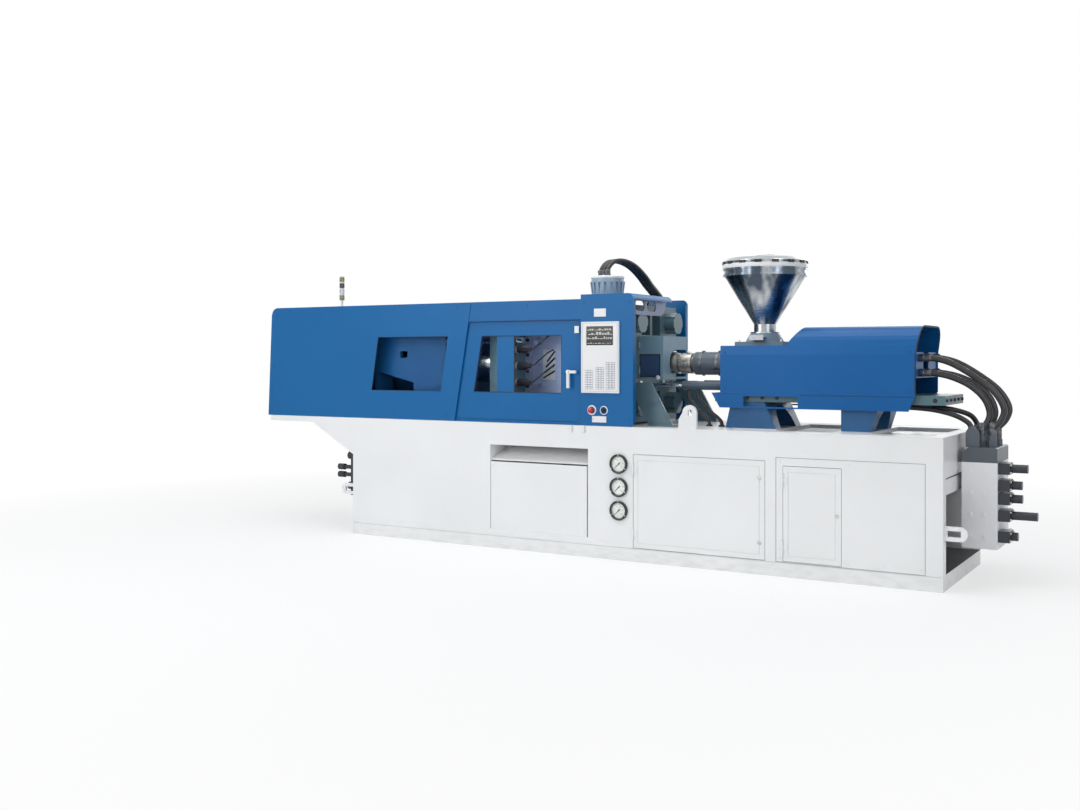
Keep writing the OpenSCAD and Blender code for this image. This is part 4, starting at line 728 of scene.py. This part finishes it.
# Water connectors: black valve bodies with zinc collars, screwed into the moving platen's face.
# A thin hose goes from each one to the moving half, over a pale ground wear plate.
connector_black = sprayed("connector_black", (0.035, 0.035, 0.045), 0.4)
wear_steel = worked("wear_steel", (0.62, 0.64, 0.68), 0.35,
                    ((0.52, 0.54, 0.58), (0.72, 0.73, 0.76), 30, (1, 1, 8)),
                    (0.28, 0.42, 60), metallic=0.4)
valve_y = -0.385
to_injection_end = (1, 0, 0)
water_hoses = bmesh.new()
for number, height in enumerate((-0.14, -0.02, 0.10)):
    z = axis_z + height
    top = z + 0.115
    valve = add_turned(bmesh.new(), (tool_x + 0.017, valve_y, z), to_injection_end,
                       [(0, 0.0001), (0, 0.023), (0.006, 0.0275), (0.07, 0.0275),
                        (0.084, 0.018), (0.104, 0.018), (0.110, 0.013), (0.110, 0.0001)], 32)
    fitted("water_valve_%d" % number, valve, connector_black, "platen")
    collar = add_turned(bmesh.new(), (tool_x + 0.0003, valve_y, z), to_injection_end,
                        [(0, 0.0001), (0, 0.029), (0.003, 0.032), (0.019, 0.032),
                         (0.019, 0.0001)], 8)
    fitted("water_valve_collar_%d" % number, collar, zinc, "platen", bevel=0.0015, angle=20)
    add_tube(water_hoses, [
        (-0.474, valve_y, z), (-0.455, valve_y, z + 0.004), (-0.435, valve_y + 0.012, z + 0.022),
        (-0.410, valve_y + 0.045, z + 0.058), (-0.386, valve_y + 0.090, z + 0.094),
        (-0.374, valve_y + 0.125, top - 0.004), (-0.372, -0.245, top), (-0.372, -0.2303, top)],
        0.005)
fitted("mould_water_hoses", water_hoses, connector_black, "platen", angle=60)
wear_plate = add_box(bmesh.new(), (-0.462, -0.2345, 1.205), (-0.356, -0.2300, 1.425))
fitted("mould_wear_plate", wear_plate, wear_steel, "platen", bevel=0.001)
slots = bmesh.new()
for number in range(4):
    low = 1.218 + 0.040 * number
    add_bar(slots, (-0.456 + 0.010 * number, -0.2345, low),
            (-0.361, -0.2345, low + 0.052 + 0.008 * number), 0.0065, 12)
fitted("mould_plate_slots", slots, black_oxide, "platen", merge=False)

# Clamp guard and gates: 2 mm sheet over a frame, folded and welded, sprayed blue.
# The gloss drifts where the sheets are wiped, and the platen cover has a pale rib let into it.
guard_blue = sprayed("guard_blue", (0.001, 0.118, 0.335), 0.38, 0.03)
wears(guard_blue, "front_guard", "rear_guard", "clamp_roof", "front_gate", "rear_gate")
cover_paint = guard_blue.copy()
cover_paint.name = "platen_cover_paint"
rib = product(cover_paint, within(cover_paint, "X", 0.3825, 0.3955),
              product(cover_paint, within(cover_paint, "Y", -0.546, 0.059),
                      within(cover_paint, "Z", 1.6, 1.7875)))
stain(cover_paint, rib, (0.27, 0.31, 0.46))
wears(cover_paint, "platen_cover")
window_acrylic = clear("window_acrylic", (0.93, 0.965, 1), 0.03, 1.03, 3, 0.0, 0.03)
wears(window_acrylic, "guard_windows", "front_gate_window", "rear_gate_window")

# Window seals: dark blue rubber channel pressed round the edge of each opening.
# Its corners are mitred, and its lips hold the acrylic from both sides.
base_top = 0.900
guard_top = 1.769


def seam_at(z):
    """X of the slanted seam between guard and gate."""
    return -0.878 - (guard_top - z) * 0.149 / 0.869


sill, lintel = base_top + 0.215, base_top + 0.625
gate_opening = [(seam_at(lintel) + 0.124, lintel), (-0.123, lintel), (-0.123, sill),
                (seam_at(sill) + 0.124, sill)]
guard_opening = [(-1.744, lintel), (-1.084, lintel), (-1.149, sill), (-1.809, sill)]
# Seam shadow: a dark blue for painted shade along seam and crease lines; the window seals are made
# in it too.
seam_shadow = worked("seam_shadow", (0.006, 0.03, 0.09), 0.6,
                     ((0.004, 0.022, 0.07), (0.008, 0.04, 0.11), 20))


def inset(corners, by):
    """Moves each corner of a window outline inwards."""
    middle = [sum(c[k] for c in corners) / len(corners) for k in (0, 1)]
    return [tuple(c[k] + math.copysign(by, middle[k] - c[k]) for k in (0, 1)) for c in corners]


def window_seal(name, corners, y0, y1, width, body):
    """A rubber channel round an opening, with mitred corners."""
    mesh = bmesh.new()
    inner = inset(corners, width)
    rings = [[mesh.verts.new((x, y, z)) for x, z in outline]
             for outline, y in ((corners, y0), (inner, y0), (inner, y1), (corners, y1))]
    skinned(mesh, rings + rings[:1])
    fitted(name, mesh, seam_shadow, body, bevel=0.001)


both_sides = ((-1, "front"), (1, "rear"))
for side, word in both_sides:
    low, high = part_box(word + "_gate_window")
    window_seal(word + "_gate_seal", gate_opening, low[1] - 0.0085, high[1] + 0.0085, 0.005,
                word + "_gate")
    y0, y1 = sorted((side * 0.5605, side * 0.5476))
    window_seal(word + "_guard_seal", guard_opening, y0, y1, 0.004, "base")

# Guard trim: the pressed seam line along the fascia, and the screws that hold the panels.
# The seam line is a dark bead of painted shade.
# The screws have small round heads, painted over in the guard's blue.
guard_face = 0.5603
for side, word in both_sides:
    y = side * guard_face
    trim = add_tube(bmesh.new(), [(seam_at(1.625) + 0.006, y, 1.627), (-0.30, y, 1.628),
                                  (0.034, y, 1.628)], 0.0022, 6)
    fitted(word + "_fascia_shade_line", trim, seam_shadow)
    painted_screws(word + "_guard_screws", [(x, y, z) for x, z in (
        (-2.79, 1.70), (-2.82, 1.30), (-2.85, 0.945), (-2.20, 0.945), (-1.60, 0.945),
        (-1.10, 0.945), (-2.20, 1.735), (-1.60, 1.735), (-1.00, 1.735), (-0.80, 1.735),
        (-0.40, 1.735), (0.0, 1.735))], (0, side, 0), guard_blue)
painted_screws("cover_screws", [(x, -guard_face, z) for x in (0.060, 0.405) for z in (0.95, 1.74)],
               to_operator, guard_blue)

# Gate: a panel divided in two by a broad stile, behind which the guard's frame shows.
# The stile is the sheet between its two panes, with a rubber edge along the right one.
stile_left, stile_right = -0.665, -0.520
for side, word in both_sides:
    low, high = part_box(word + "_gate_window")
    front = low[1] - 0.0040 if side < 0 else high[1] + 0.0010
    stile = add_box(bmesh.new(), (stile_left, front, sill + 0.0005),
                    (stile_right, front + 0.0030, lintel - 0.0005))
    fitted(word + "_gate_stile", stile, guard_blue, word + "_gate", bevel=0.0008)
    edges = add_box(bmesh.new(), (stile_right - 0.001, front - 0.0006, sill + 0.006),
                    (stile_right + 0.006, front + 0.0036, lintel - 0.006))
    fitted(word + "_stile_edge", edges, seal_rubber, word + "_gate", bevel=0.0006)

# Gate handle: a white cast lever on a short pivot, with a zinc cap screw in its hub.
# It is die cast and sprayed, and turns on its pivot to free the gate.
wears(sprayed("handle_white", (0.80, 0.80, 0.80), 0.3, 0.4), "gate_handle")
screws("handle_screw", [(-0.055, -0.5865, 1.268)], to_operator, 0.006, "front_gate", height=0.003)

# Control panel: a white moulded frame round a black screen and three stepped key fields.
# The screen shows plain blocks, and the keys are small raised pads on a grey foil.
panel_white = sprayed("panel_white", (0.82, 0.82, 0.825), 0.34, 0.1)
wears(panel_white, "control_panel")
panel_front = -0.576
screen_glass = worked("screen_glass", (0.012, 0.013, 0.014), 0.12,
                      ((0.008, 0.009, 0.010), (0.018, 0.019, 0.021), 6), (0.06, 0.2, 4))
screen = add_box(bmesh.new(), (0.0885, panel_front + 0.0015, 1.4505),
                 (0.2935, panel_front + 0.0038, 1.5795))
fitted("panel_screen", screen, screen_glass, bevel=0.0008)
screen_glow = worked("screen_glow", (0.80, 0.80, 0.74), 0.4,
                     ((0.74, 0.74, 0.68), (0.84, 0.84, 0.78), 40))
picture = bmesh.new()
blocks = random.Random(7)
for x, z, tall in ((0.096, 1.552, 0.018), (0.104, 1.522, 0.020), (0.096, 1.493, 0.018),
                   (0.096, 1.462, 0.006)):
    share = tall / 3
    while x < 0.280:
        wide = blocks.uniform(0.008, 0.022)
        gap = blocks.uniform(0.004, 0.007)
        if x + wide < 0.286:
            for k in range(blocks.choice((1, 2, 2, 3))):
                add_box(picture, (x, panel_front + 0.0010, z + k * share),
                        (x + wide, panel_front + 0.0016, z + (k + 0.62) * share))
        x += wide + gap
fitted("screen_picture", picture, screen_glow, merge=False)


def key_fields():
    """Node tree: one key on every point."""
    tree, given = tree_for_points("key_fields", {"Key size": (0.014, 0.0016, 0.011)})
    key = step(tree, "GeometryNodeMeshCube", {"Size": given["Key size"]})
    return on_each_point(tree, given, given["Geometry"], key)


key_foil = worked("key_foil", (0.36, 0.38, 0.42), 0.45,
                  ((0.32, 0.34, 0.38), (0.40, 0.42, 0.46), 30))
foil = bmesh.new()
foil_low = 1.1505
key_places = []
for left, wide, high in ((0.078, 0.062, 0.155), (0.160, 0.065, 0.176), (0.240, 0.069, 0.210)):
    add_box(foil, (left + 0.0006, panel_front + 0.0002, foil_low),
            (left + wide - 0.0006, panel_front + 0.0014, 1.126 + high - 0.0006))
    rows = int((high - 0.024) / 0.0148)
    key_places += [(left + wide * (across + 0.5) / 3, panel_front - 0.0003,
                    foil_low + (high - 0.026) * (up + 0.5) / rows)
                   for across in range(3) for up in range(rows)]
fitted("key_foils", foil, key_foil, merge=False)
key_face = worked("key_face", (0.78, 0.79, 0.80), 0.4,
                  ((0.70, 0.71, 0.73), (0.84, 0.84, 0.85), 60))
made_by_nodes("panel_keys", key_places, key_fields(),
              {"Finish": key_face, "Key size": (0.0165, 0.0016, 0.0108)})
frame_line = frame_of_strip(bmesh.new(), (0.057, panel_front, 1.136),
                            (0.327, panel_front, 1.602), 0.0016, 0.0008)
fitted("panel_frame_line", frame_line, key_foil, merge=False)

# Buttons: a red mushroom stop in a white collar, a keyed selector and blank plates.
# The heads are moulded plastic, and each collar clamps its switch to the fascia.
wears(sprayed("stop_red", (0.50, 0.012, 0.010), 0.25, 0.5), "stop_button")
wears(connector_black, "key_switch")
fascia_face = -0.5602
collars = bmesh.new()
for x, reach in ((0.124, 0.028), (0.217, 0.024)):
    add_turned(collars, (x, fascia_face, 1.008), to_operator,
               [(0, 0.0245), (0, reach + 0.006), (0.003, reach + 0.006), (0.005, reach + 0.003),
                (0.005, 0.0245)], 40)
fitted("button_collars", collars, panel_white, merge=False)
plates = bmesh.new()
for low, high in (((0.125, -0.5625, 0.925), (0.235, -0.5598, 0.968)),
                  ((0.140, -0.5625, 1.645), (0.232, -0.5598, 1.700)),
                  ((-0.010, -0.5675, 1.535), (0.024, -0.5598, 1.583))):
    add_box(plates, low, high)
fitted("blank_plates", plates, panel_white, bevel=0.0012)
screws("plate_screws", [(x, -0.5625, z) for x, z in (
    (0.131, 0.9465), (0.229, 0.9465), (0.146, 1.6725), (0.226, 1.6725))],
       to_operator, 0.0018, sides=12, height=0.001)

# Signal tower: lamp segments of ribbed acrylic on an aluminium stem.
# The segments are stacked and screwed together through their middle.
wears(worked("tower_grey", (0.55, 0.56, 0.57), 0.35,
             ((0.46, 0.47, 0.48), (0.62, 0.62, 0.63), 30), (0.28, 0.45, 60), metallic=0.6),
      "signal_tower")
tower_x, tower_y = -2.276, -0.360
upward = (0, 0, 1)
for number, (shade, word) in enumerate((
        ((0.33, 0.30, 0.12), "olive"), ((0.80, 0.80, 0.80), "white"),
        ((0.06, 0.05, 0.055), "dark"), ((0.30, 0.27, 0.10), "top"))):
    segment = new_finish("lamp_" + word, shade, 0.2, coat=0.4)
    colour_over(segment, grain(segment, 30), tuple(0.8 * c for c in shade), shade)
    profile = [(0, 0.0188)]
    for rib in range(8):
        profile += [(rib * 0.0048, 0.0195), (rib * 0.0048 + 0.0024, 0.0212)]
    ring = add_turned(bmesh.new(), (tower_x, tower_y, guard_top + 0.061 + number * 0.048),
                      upward, profile + [(0.0384, 0.0195), (0.0384, 0.0188)], 32)
    fitted("lamp_segment_" + word, ring, segment, merge=False)

# Hose drum: a ribbed casting in pale blue-grey that turns the hoses over the cover roof.
# A white pressed lid closes it, held by a ring of eight screws.
wears(cast("drum_paint", (0.30, 0.41, 0.52), 0.35, 0.3, 0.2, 0.0008, 60, 4), "hose_drum")
drum_x, drum_y = 0.160, -0.400
drum_lid = add_turned(bmesh.new(), (drum_x, drum_y, 1.912), upward,
                      [(0, 0.0001), (0, 0.1135), (0.004, 0.1165), (0.012, 0.1165),
                       (0.0165, 0.112), (0.0185, 0.10), (0.0195, 0.0001)], 64)
fitted("drum_lid", drum_lid, panel_white)


def bolt_circle(x, y, z, radius, first, count):
    """Places evenly spaced round an upright axis."""
    return [(x + radius * math.cos(a), y + radius * math.sin(a), z)
            for a in row(first, first + math.tau * (count - 1) / count, count)]


screws("drum_lid_screws", bolt_circle(drum_x, drum_y, 1.9305, 0.101, 0.2, 8), upward, 0.004,
       sides=12, height=0.002)

# Hoses: two wire braids under a smooth black rubber cover, crimped into plated ferrules.
# Each is a fixed length between two fittings and hangs or lies in a long curve.
hose_rubber = worked("hose_rubber", (0.016, 0.016, 0.019), 0.36,
                     ((0.011, 0.011, 0.013), (0.030, 0.030, 0.034), 18, (1, 1, 1), 6),
                     (0.28, 0.52, 34, (1, 1, 1), 6), (0.22, 0.0003, 500))
ferrule_zinc = worked("ferrule_zinc", (0.12, 0.125, 0.14), 0.38,
                      ((0.07, 0.075, 0.085), (0.17, 0.175, 0.19), 60), (0.26, 0.45, 130),
                      metallic=0.7)


def smooth_route(points, spacing=0.016):
    """A smooth curve through a hose's route points, as closely spaced points."""
    points = [Vector(p) for p in points]
    line = []
    ends = [2 * points[0] - points[1]] + points + [2 * points[-1] - points[-2]]
    for a, b, c, d in zip(ends, ends[1:], ends[2:], ends[3:]):
        steps = max(2, round((c - b).length / spacing))
        for k in range(steps):
            t = k / steps
            line.append(0.5 * (2 * b + (c - a) * t + (2 * a - 5 * b + 4 * c - d) * t ** 2
                               + (3 * b - a - 3 * c + d) * t ** 3))
    line.append(points[-1])
    return line


def metres(route):
    """A route in millimetres as metres."""
    return [tuple(value / 1000 for value in point) for point in route]


def ferrule(mesh, end, toward, radius, length):
    """A crimped ferrule with a pressed waist and a collar on each side of it."""
    collar, waist = radius + 0.0052, radius + 0.0036
    add_turned(mesh, end, (Vector(toward) - Vector(end)).normalized(),
               [(-0.001, 0.0001), (-0.001, radius + 0.0035), (0.004, collar),
                (length * 0.42, collar), (length * 0.45, waist), (length * 0.60, waist),
                (length * 0.63, collar), (length * 0.94, collar), (length, radius + 0.0012),
                (length, 0.0001)], 24)


drum_hose, lower_hose, mould_hose = 0.015, 0.016, 0.008
long_ferrule, short_ferrule = 0.052, 0.024
drum_route = [[110, -400, 1922.3], [110, -400, 1975], [128, -345, 2030], [165, -260, 2040],
              [200, -160, 2010], [215, -40, 1950], [210, 80, 1890], [198, 190, 1850],
              [188, 280, 1815], [181, 330, 1778], [180, 340, 1750], [180, 340, 1736.4]]
lower_pair = ([[2000, -150, 1056], [2150, -150, 1056], [2300, -142, 1043.4],
               [2420, -126, 1011.8], [2496, -113, 966.1], [2512, -110, 925.1],
               [2512, -110, 898.3]],
              [[2000, -40, 1056], [2150, -40, 1056], [2330, -4, 1049.7], [2460, 40, 1016.6],
               [2504, 64, 970.8], [2512, 70, 929.8], [2512, 70, 898.3]])
fixed_lines = [([[x + 38 * i, y - 21 * i, z] for x, y, z in drum_route], drum_hose, long_ferrule)
               for i in range(3)]
fixed_lines += [(route, lower_hose, long_ferrule) for route in lower_pair]
fixed_lines += [([[-30, -232, z], [-40, -290, z + 10], [-20, -330, z + 50],
                  [20, -340, z + 110], [50, -345, z + 170]], mould_hose, short_ferrule)
                for z in (1250, 1400)]
hose_run = bmesh.new()
hose_ends = bmesh.new()
for route, radius, length in fixed_lines:
    line = smooth_route(metres(route))
    add_tube(hose_run, line, radius, 20)
    ferrule(hose_ends, line[0], line[2], radius, length)
    ferrule(hose_ends, line[-1], line[-3], radius, length)
fixed_run = fitted("fixed_hose_run", hose_run, hose_rubber, angle=60)
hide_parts("fixed_hoses")
fitted("fixed_hose_ferrules", hose_ends, ferrule_zinc, merge=False)

upper_route = [[2216.5, -180, 1364], [2290, -180, 1364], [2400, -168, 1333.7],
               [2530, -146, 1255.0], [2640, -126, 1165.1], [2698, -114, 1063.6],
               [2682, -110, 989.1], [2636, -110, 935.6], [2632, -110, 921.6], [2632, -110, 898.3]]
lower_route = [[2216.5, -180, 1272], [2290, -180, 1272], [2400, -166, 1249.6],
               [2510, -146, 1196.1], [2588, -126, 1118.0], [2618, -114, 1030.2],
               [2598, -110, 963.3], [2573, -110, 931.9], [2572, -110, 920.7], [2572, -110, 898.3]]
rear_routes = [[[x, 0.2 * y + 92, z] for x, y, z in route] for route in (upper_route, lower_route)]
carriage_hose, swivel_ferrule = 0.019, 0.075
carriage_run = bmesh.new()
carriage_ends = bmesh.new()
manifold_ends = bmesh.new()
for route in [upper_route, lower_route] + rear_routes:
    line = smooth_route(metres(route))
    add_tube(carriage_run, line, carriage_hose, 20)
    ferrule(carriage_ends, line[0], line[2], carriage_hose, swivel_ferrule)
    ferrule(manifold_ends, line[-1], line[-3], carriage_hose, swivel_ferrule)
carriage_hose_run = fitted("carriage_hose_run", carriage_run, hose_rubber, body=None, angle=60)
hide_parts("carriage_hoses")
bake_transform(carriage_hose_run)
fitted("carriage_hose_ferrules", carriage_ends, ferrule_zinc, "carriage", merge=False)
fitted("manifold_hose_ferrules", manifold_ends, ferrule_zinc, merge=False)

barrel_run = bmesh.new()
grommets = bmesh.new()
for s in (0, 1):
    line = metres([[680 + 70 * s, -186, 1145.7], [680 + 70 * s, -186, 1090],
                   [735 + 80 * s, -180, 1015], [798 + 90 * s, -171, 955],
                   [820 + 90 * s, -170, 925], [820 + 90 * s, -170, 900.3]])
    add_tube(barrel_run, smooth_route(line, 0.01), 0.012, 16)
    add_turned(grommets, Vector(line[-1]) - Vector((0, 0, 0.0008)), upward,
               [(0, 0.0125), (0, 0.024), (0.004, 0.024), (0.012, 0.017), (0.012, 0.0125)], 24)
barrel_hose_run = fitted("barrel_hose_run", barrel_run, hose_rubber, body=None, angle=60)
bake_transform(barrel_hose_run)
fitted("hose_grommets", grommets, seal_rubber, merge=False)

# Purge guard: a folded sheet box over the nozzle, grey-green, with a tinted window and a knob.
# It swings on pin hinges, and a rubber strip frames the window.
wears(sprayed("purge_paint", (0.20, 0.33, 0.42), 0.36, 0.1), "purge_guard")
tinted = worked("tinted_window", (0.045, 0.085, 0.19), 0.10,
                ((0.035, 0.070, 0.165), (0.055, 0.100, 0.215), 5), (0.06, 0.18, 5))
pane = add_box(bmesh.new(), (0.3135, -0.1985, 1.2355), (0.4625, -0.1955, 1.3855))
fitted("purge_window", pane, tinted, "purge_guard")
purge_seal = frame_of_strip(bmesh.new(), (0.3085, -0.2000, 1.2300), (0.4675, -0.2000, 1.3910),
                            0.006, 0.0022)
fitted("purge_window_seal", purge_seal, seal_rubber, "purge_guard", bevel=0.0008)
knob = add_turned(bmesh.new(), (0.452, -0.2000, 1.228), to_operator,
                  [(0, 0.0001), (0, 0.006), (0.002, 0.006), (0.003, 0.0135), (0.006, 0.0155),
                   (0.010, 0.0145), (0.0125, 0.011), (0.013, 0.0001)], 32)
fitted("purge_knob", knob, panel_white, "purge_guard")

# Barrel and nozzle: nitrided steel, straw and blue from heat near the tip.
# The screw inside is turned and polished steel.
wears(worked("hot_steel", (0.22, 0.21, 0.20), 0.38,
             ((0.12, 0.115, 0.13), (0.34, 0.29, 0.22), 9, (4, 1, 1), 8),
             (0.28, 0.52, 40, (6, 1, 1), 6), metallic=0.95), "nozzle", "barrel")
wears(worked("screw_steel", (0.5, 0.5, 0.52), 0.25,
             ((0.40, 0.41, 0.43), (0.58, 0.58, 0.60), 30, (4, 1, 1)), (0.2, 0.38, 60),
             metallic=1), "screw")

# Heater bands: mica bands in bright stainless sheet, each drawn tight by a clamp screw.
# Further back a slate sheet cover lies over them, held by three dark straps.
band_steel = worked("band_steel", (0.5, 0.49, 0.46), 0.3,
                    ((0.34, 0.31, 0.27), (0.62, 0.61, 0.58), 16, (1, 3, 3), 8),
                    (0.22, 0.46, 60), metallic=1)
wears(band_steel, "heater_bands")


def clamp_bar(mesh, x, height):
    """The screw that draws a band or strap tight, lying across its top."""
    add_bar(mesh, (x, -0.026, axis_z + height), (x, 0.026, axis_z + height), 0.004, 12)


def band_round(mesh, x, inner, outer, width, sides):
    """A flat hoop round the barrel's axis."""
    add_turned(mesh, (x, 0, axis_z), to_injection_end,
               [(0, inner), (0, outer), (width, outer), (width, inner)], sides)


cover_start = 0.6
bands = bmesh.new()
for number in range(5):
    x = 0.442 + 0.106 * number
    for edge_x in (x + 0.004, x + 0.080):
        band_round(bands, edge_x - 0.003, 0.0705, 0.0727, 0.006, 48)
    if x < cover_start:
        clamp_bar(bands, x + 0.042, 0.083)
fitted("heater_band_beads", bands, band_steel, "carriage", merge=False)
wears(sprayed("cover_steel", (0.105, 0.135, 0.17), 0.42, 0.1), "barrel_cover")
straps = bmesh.new()
for x in (0.700, 0.820, 0.925):
    band_round(straps, x, 0.0795, 0.0815, 0.016, 64)
    add_box(straps, (x + 0.002, -0.010, axis_z - 0.087), (x + 0.014, 0.010, axis_z - 0.079))
    clamp_bar(straps, x + 0.008, 0.0855)
fitted("barrel_cover_straps", straps, ferrule_zinc, "carriage", merge=False)

# Injection bed: a planed steel table on two cast feet, in slate blue enamel.
# Bolts hold the feet to the deck, and the ways to the table's front and end.
wears(cast("bed_paint", (0.10, 0.18, 0.205), 0.40, 0.1, 0.25, 0.0012), "slide_bed")
wears(cast("foot_paint", (0.035, 0.135, 0.31), 0.38, 0.1, 0.35, 0.0016, 22), "bed_supports")
bolt_z = 1.104
screws("bed_foot_bolts", [(0.955, y, base_top) for y in (-0.10, 0.10)], upward, 0.012, height=0.01)
for name, facing, places in (
        ("bed_way_bolts", to_operator,
         [(x, -0.2625, bolt_z) for x in row(0.93, 1.33, 5) + [1.78, 1.96, 2.14, 2.33]]),
        ("bed_end_bolts", to_injection_end,
         [(2.3905, y, bolt_z) for y in row(-0.22, 0.22, 5)])):
    screws(name, places, facing, 0.009, finish=black_oxide, height=0.006)

# Carriage castings: feed housing, drive plate, motor and cylinders under the cover.
# The castings are iron in grey-blue enamel, and the cylinders are steel tube, sprayed darker.
wears(cast("housing_paint", (0.13, 0.19, 0.25), 0.4, 0.15, 0.35, 0.0016),
      "feed_housing", "drive_plate", "hydraulic_motor")
wears(sprayed("cylinder_blue", (0.03, 0.14, 0.33), 0.34, 0.25), "injection_cylinders")
wears(sprayed("slate_enamel", (0.055, 0.085, 0.12), 0.38, 0.1), "carriage_cylinders")

# Injection cover: 3 mm sheet rolled into a hood, with a stepped crown and folded skirts.
# Painted screws hold its skirts, and a rubber channel edges its open end.
cover_blue = sprayed("cover_blue", (0.001, 0.103, 0.325), 0.38, 0.03)
wears(cover_blue, "injection_cover")
hood_edge = bmesh.new()
for y in (-0.3004, 0.3004):
    add_tube(hood_edge, [(x, y, 1.131) for x in row(0.955, 1.10, 3)], 0.0025, 6)
    add_tube(hood_edge, [(x, y, 1.133) for x in row(1.50, 2.20, 12)], 0.0022, 6)
fitted("hood_fold_line", hood_edge, cover_blue, "carriage")
# A thin dark strip under the hood's fold, along its front skirt, is painted shadow.
skirt_shadow = add_box(bmesh.new(), (1.495, -0.3012, 1.1215), (2.215, -0.2998, 1.1240))
fitted("hood_fold_shadow_line", skirt_shadow, seam_shadow, "carriage")
for word, side in (("hood_screws", -1), ("hood_rear_screws", 1)):
    painted_screws(word, [(x, side * 0.3005, z) for x, z in (
        (0.985, 1.40), (0.985, 1.165), (2.185, 1.165), (2.185, 1.40), (1.60, 1.165))],
        (0, side, 0), cover_blue, "carriage")
shoulder_y, shoulder_z, shoulder_radius = -0.172, 1.445, 0.118
front_end = [(-0.300, 1.140), (-0.300, 1.385), (-0.292, 1.445)] + [
    (shoulder_y + shoulder_radius * math.cos(math.radians(a)),
     shoulder_z + shoulder_radius * math.sin(math.radians(a)))
    for a in range(176, 89, -10)] + [(shoulder_y, 1.563)]
outline = front_end + [(-y, z) for y, z in front_end[::-1]]
hood_end = add_tube(bmesh.new(), [(2.2205 + 0.030 * max(0, z - 1.380) / 0.183, y, z)
                                  for y, z in outline], 0.0042, 8)
fitted("hood_end_seal", hood_end, seal_rubber, "carriage", angle=60)

# Hopper: spun stainless sheet, polished, with a white band and a bolted rim.
# It stands on a painted cast throat with a slide that shuts it off.
# Its colour runs from near black to bright in tall streaks: painted reflections on the cone.
wears(worked("stainless_painted_reflections", (0.40, 0.44, 0.48), 0.14,
             ((0.075, 0.10, 0.13), (0.55, 0.58, 0.60), 9, (1, 1, 0.10), 2),
             (0.15, 0.30, 12, (1, 1, 30), 4), (0.10, 0.0003, 40, (1, 1, 30), 1),
             metallic=1, spread=(0.42, 0.62)), "hopper")
wears(worked("lid_steel", (0.50, 0.52, 0.52), 0.22,
             ((0.42, 0.45, 0.46), (0.54, 0.56, 0.57), 9, (1, 1, 0.3), 2),
             (0.18, 0.26, 12, (1, 1, 1), 2), metallic=1), "hopper_lid")
hopper_x = 1.154
band_z = 1.921
hopper_r = 0.288
outer, inner = hopper_r - 0.002, hopper_r - 0.0155
white_band = add_turned(bmesh.new(), (hopper_x, 0, band_z + 0.046), upward,
                        [(0, inner), (0, hopper_r - 0.0035), (0.003, outer), (0.026, outer),
                         (0.029, hopper_r - 0.0035), (0.029, inner)], 96)
fitted("hopper_white_band", white_band, panel_white, "carriage")
screws("hopper_band_bolts", bolt_circle(hopper_x, 0, band_z + 0.0965, 0.262, 0.1, 12),
       upward, 0.008, "carriage", height=0.006)
clips = bmesh.new()
for k in range(16):
    a = math.tau * (k + 0.5) / 16
    out = Vector((math.cos(a), math.sin(a), 0))
    along_rim = Vector((-math.sin(a), math.cos(a), 0))
    middle = Vector((hopper_x, 0, band_z + 0.0825)) + out * (hopper_r - 0.0045)
    for corner in bmesh.ops.create_cube(clips, size=1)["verts"]:
        x, y, z = corner.co
        corner.co = middle + out * (0.009 * x) + along_rim * (0.046 * y) + Vector((0, 0, 0.020 * z))
fitted("hopper_rim_clips", clips, black_oxide, "carriage", bevel=0.0015, merge=False)
wears(cast("throat_paint", (0.17, 0.25, 0.32), 0.38, 0.2, 0.3, 0.0014, 30), "hopper_base")
wears(ground_steel, "hopper_shutoff")
screws("hopper_base_bolts",
       [(hopper_x + x, y, 1.473) for x in (-0.150, 0.150) for y in (-0.098, 0.098)],
       upward, 0.010, "carriage", height=0.008)

# Manifold: a machined steel block in pale lavender-grey enamel, with a dark hose header.
# Five black valves stand on its end, each held by four socket screws.
manifold_paint = sprayed("manifold_paint", (0.86, 0.86, 0.88), 0.38, 0.1)
stain(manifold_paint, over(manifold_paint, along(manifold_paint, "Z"), 0.7345, 0.7355, 0, 1),
      (0.100, 0.118, 0.138))
wears(manifold_paint, "manifold")
wears(cast("valve_black", (0.040, 0.045, 0.055), 0.36, 0.2, 0.25, 0.0008, 60, 4),
      "hydraulic_valves")
wears(connector_black, "flow_knob")
screws("valve_screws",
       [(2.740, -0.110 + y, z + s) for z in (0.294, 0.420, 0.520, 0.601, 0.701)
        for y in (-0.046, 0.046) for s in (-0.022, 0.022)],
       to_injection_end, 0.0055, sides=12, height=0.006)
screws("manifold_plugs",
       [(x, -0.1905, z) for x in (2.52, 2.60) for z in (0.29, 0.42, 0.55, 0.68)],
       to_operator, 0.010, finish=manifold_paint, height=0.003)
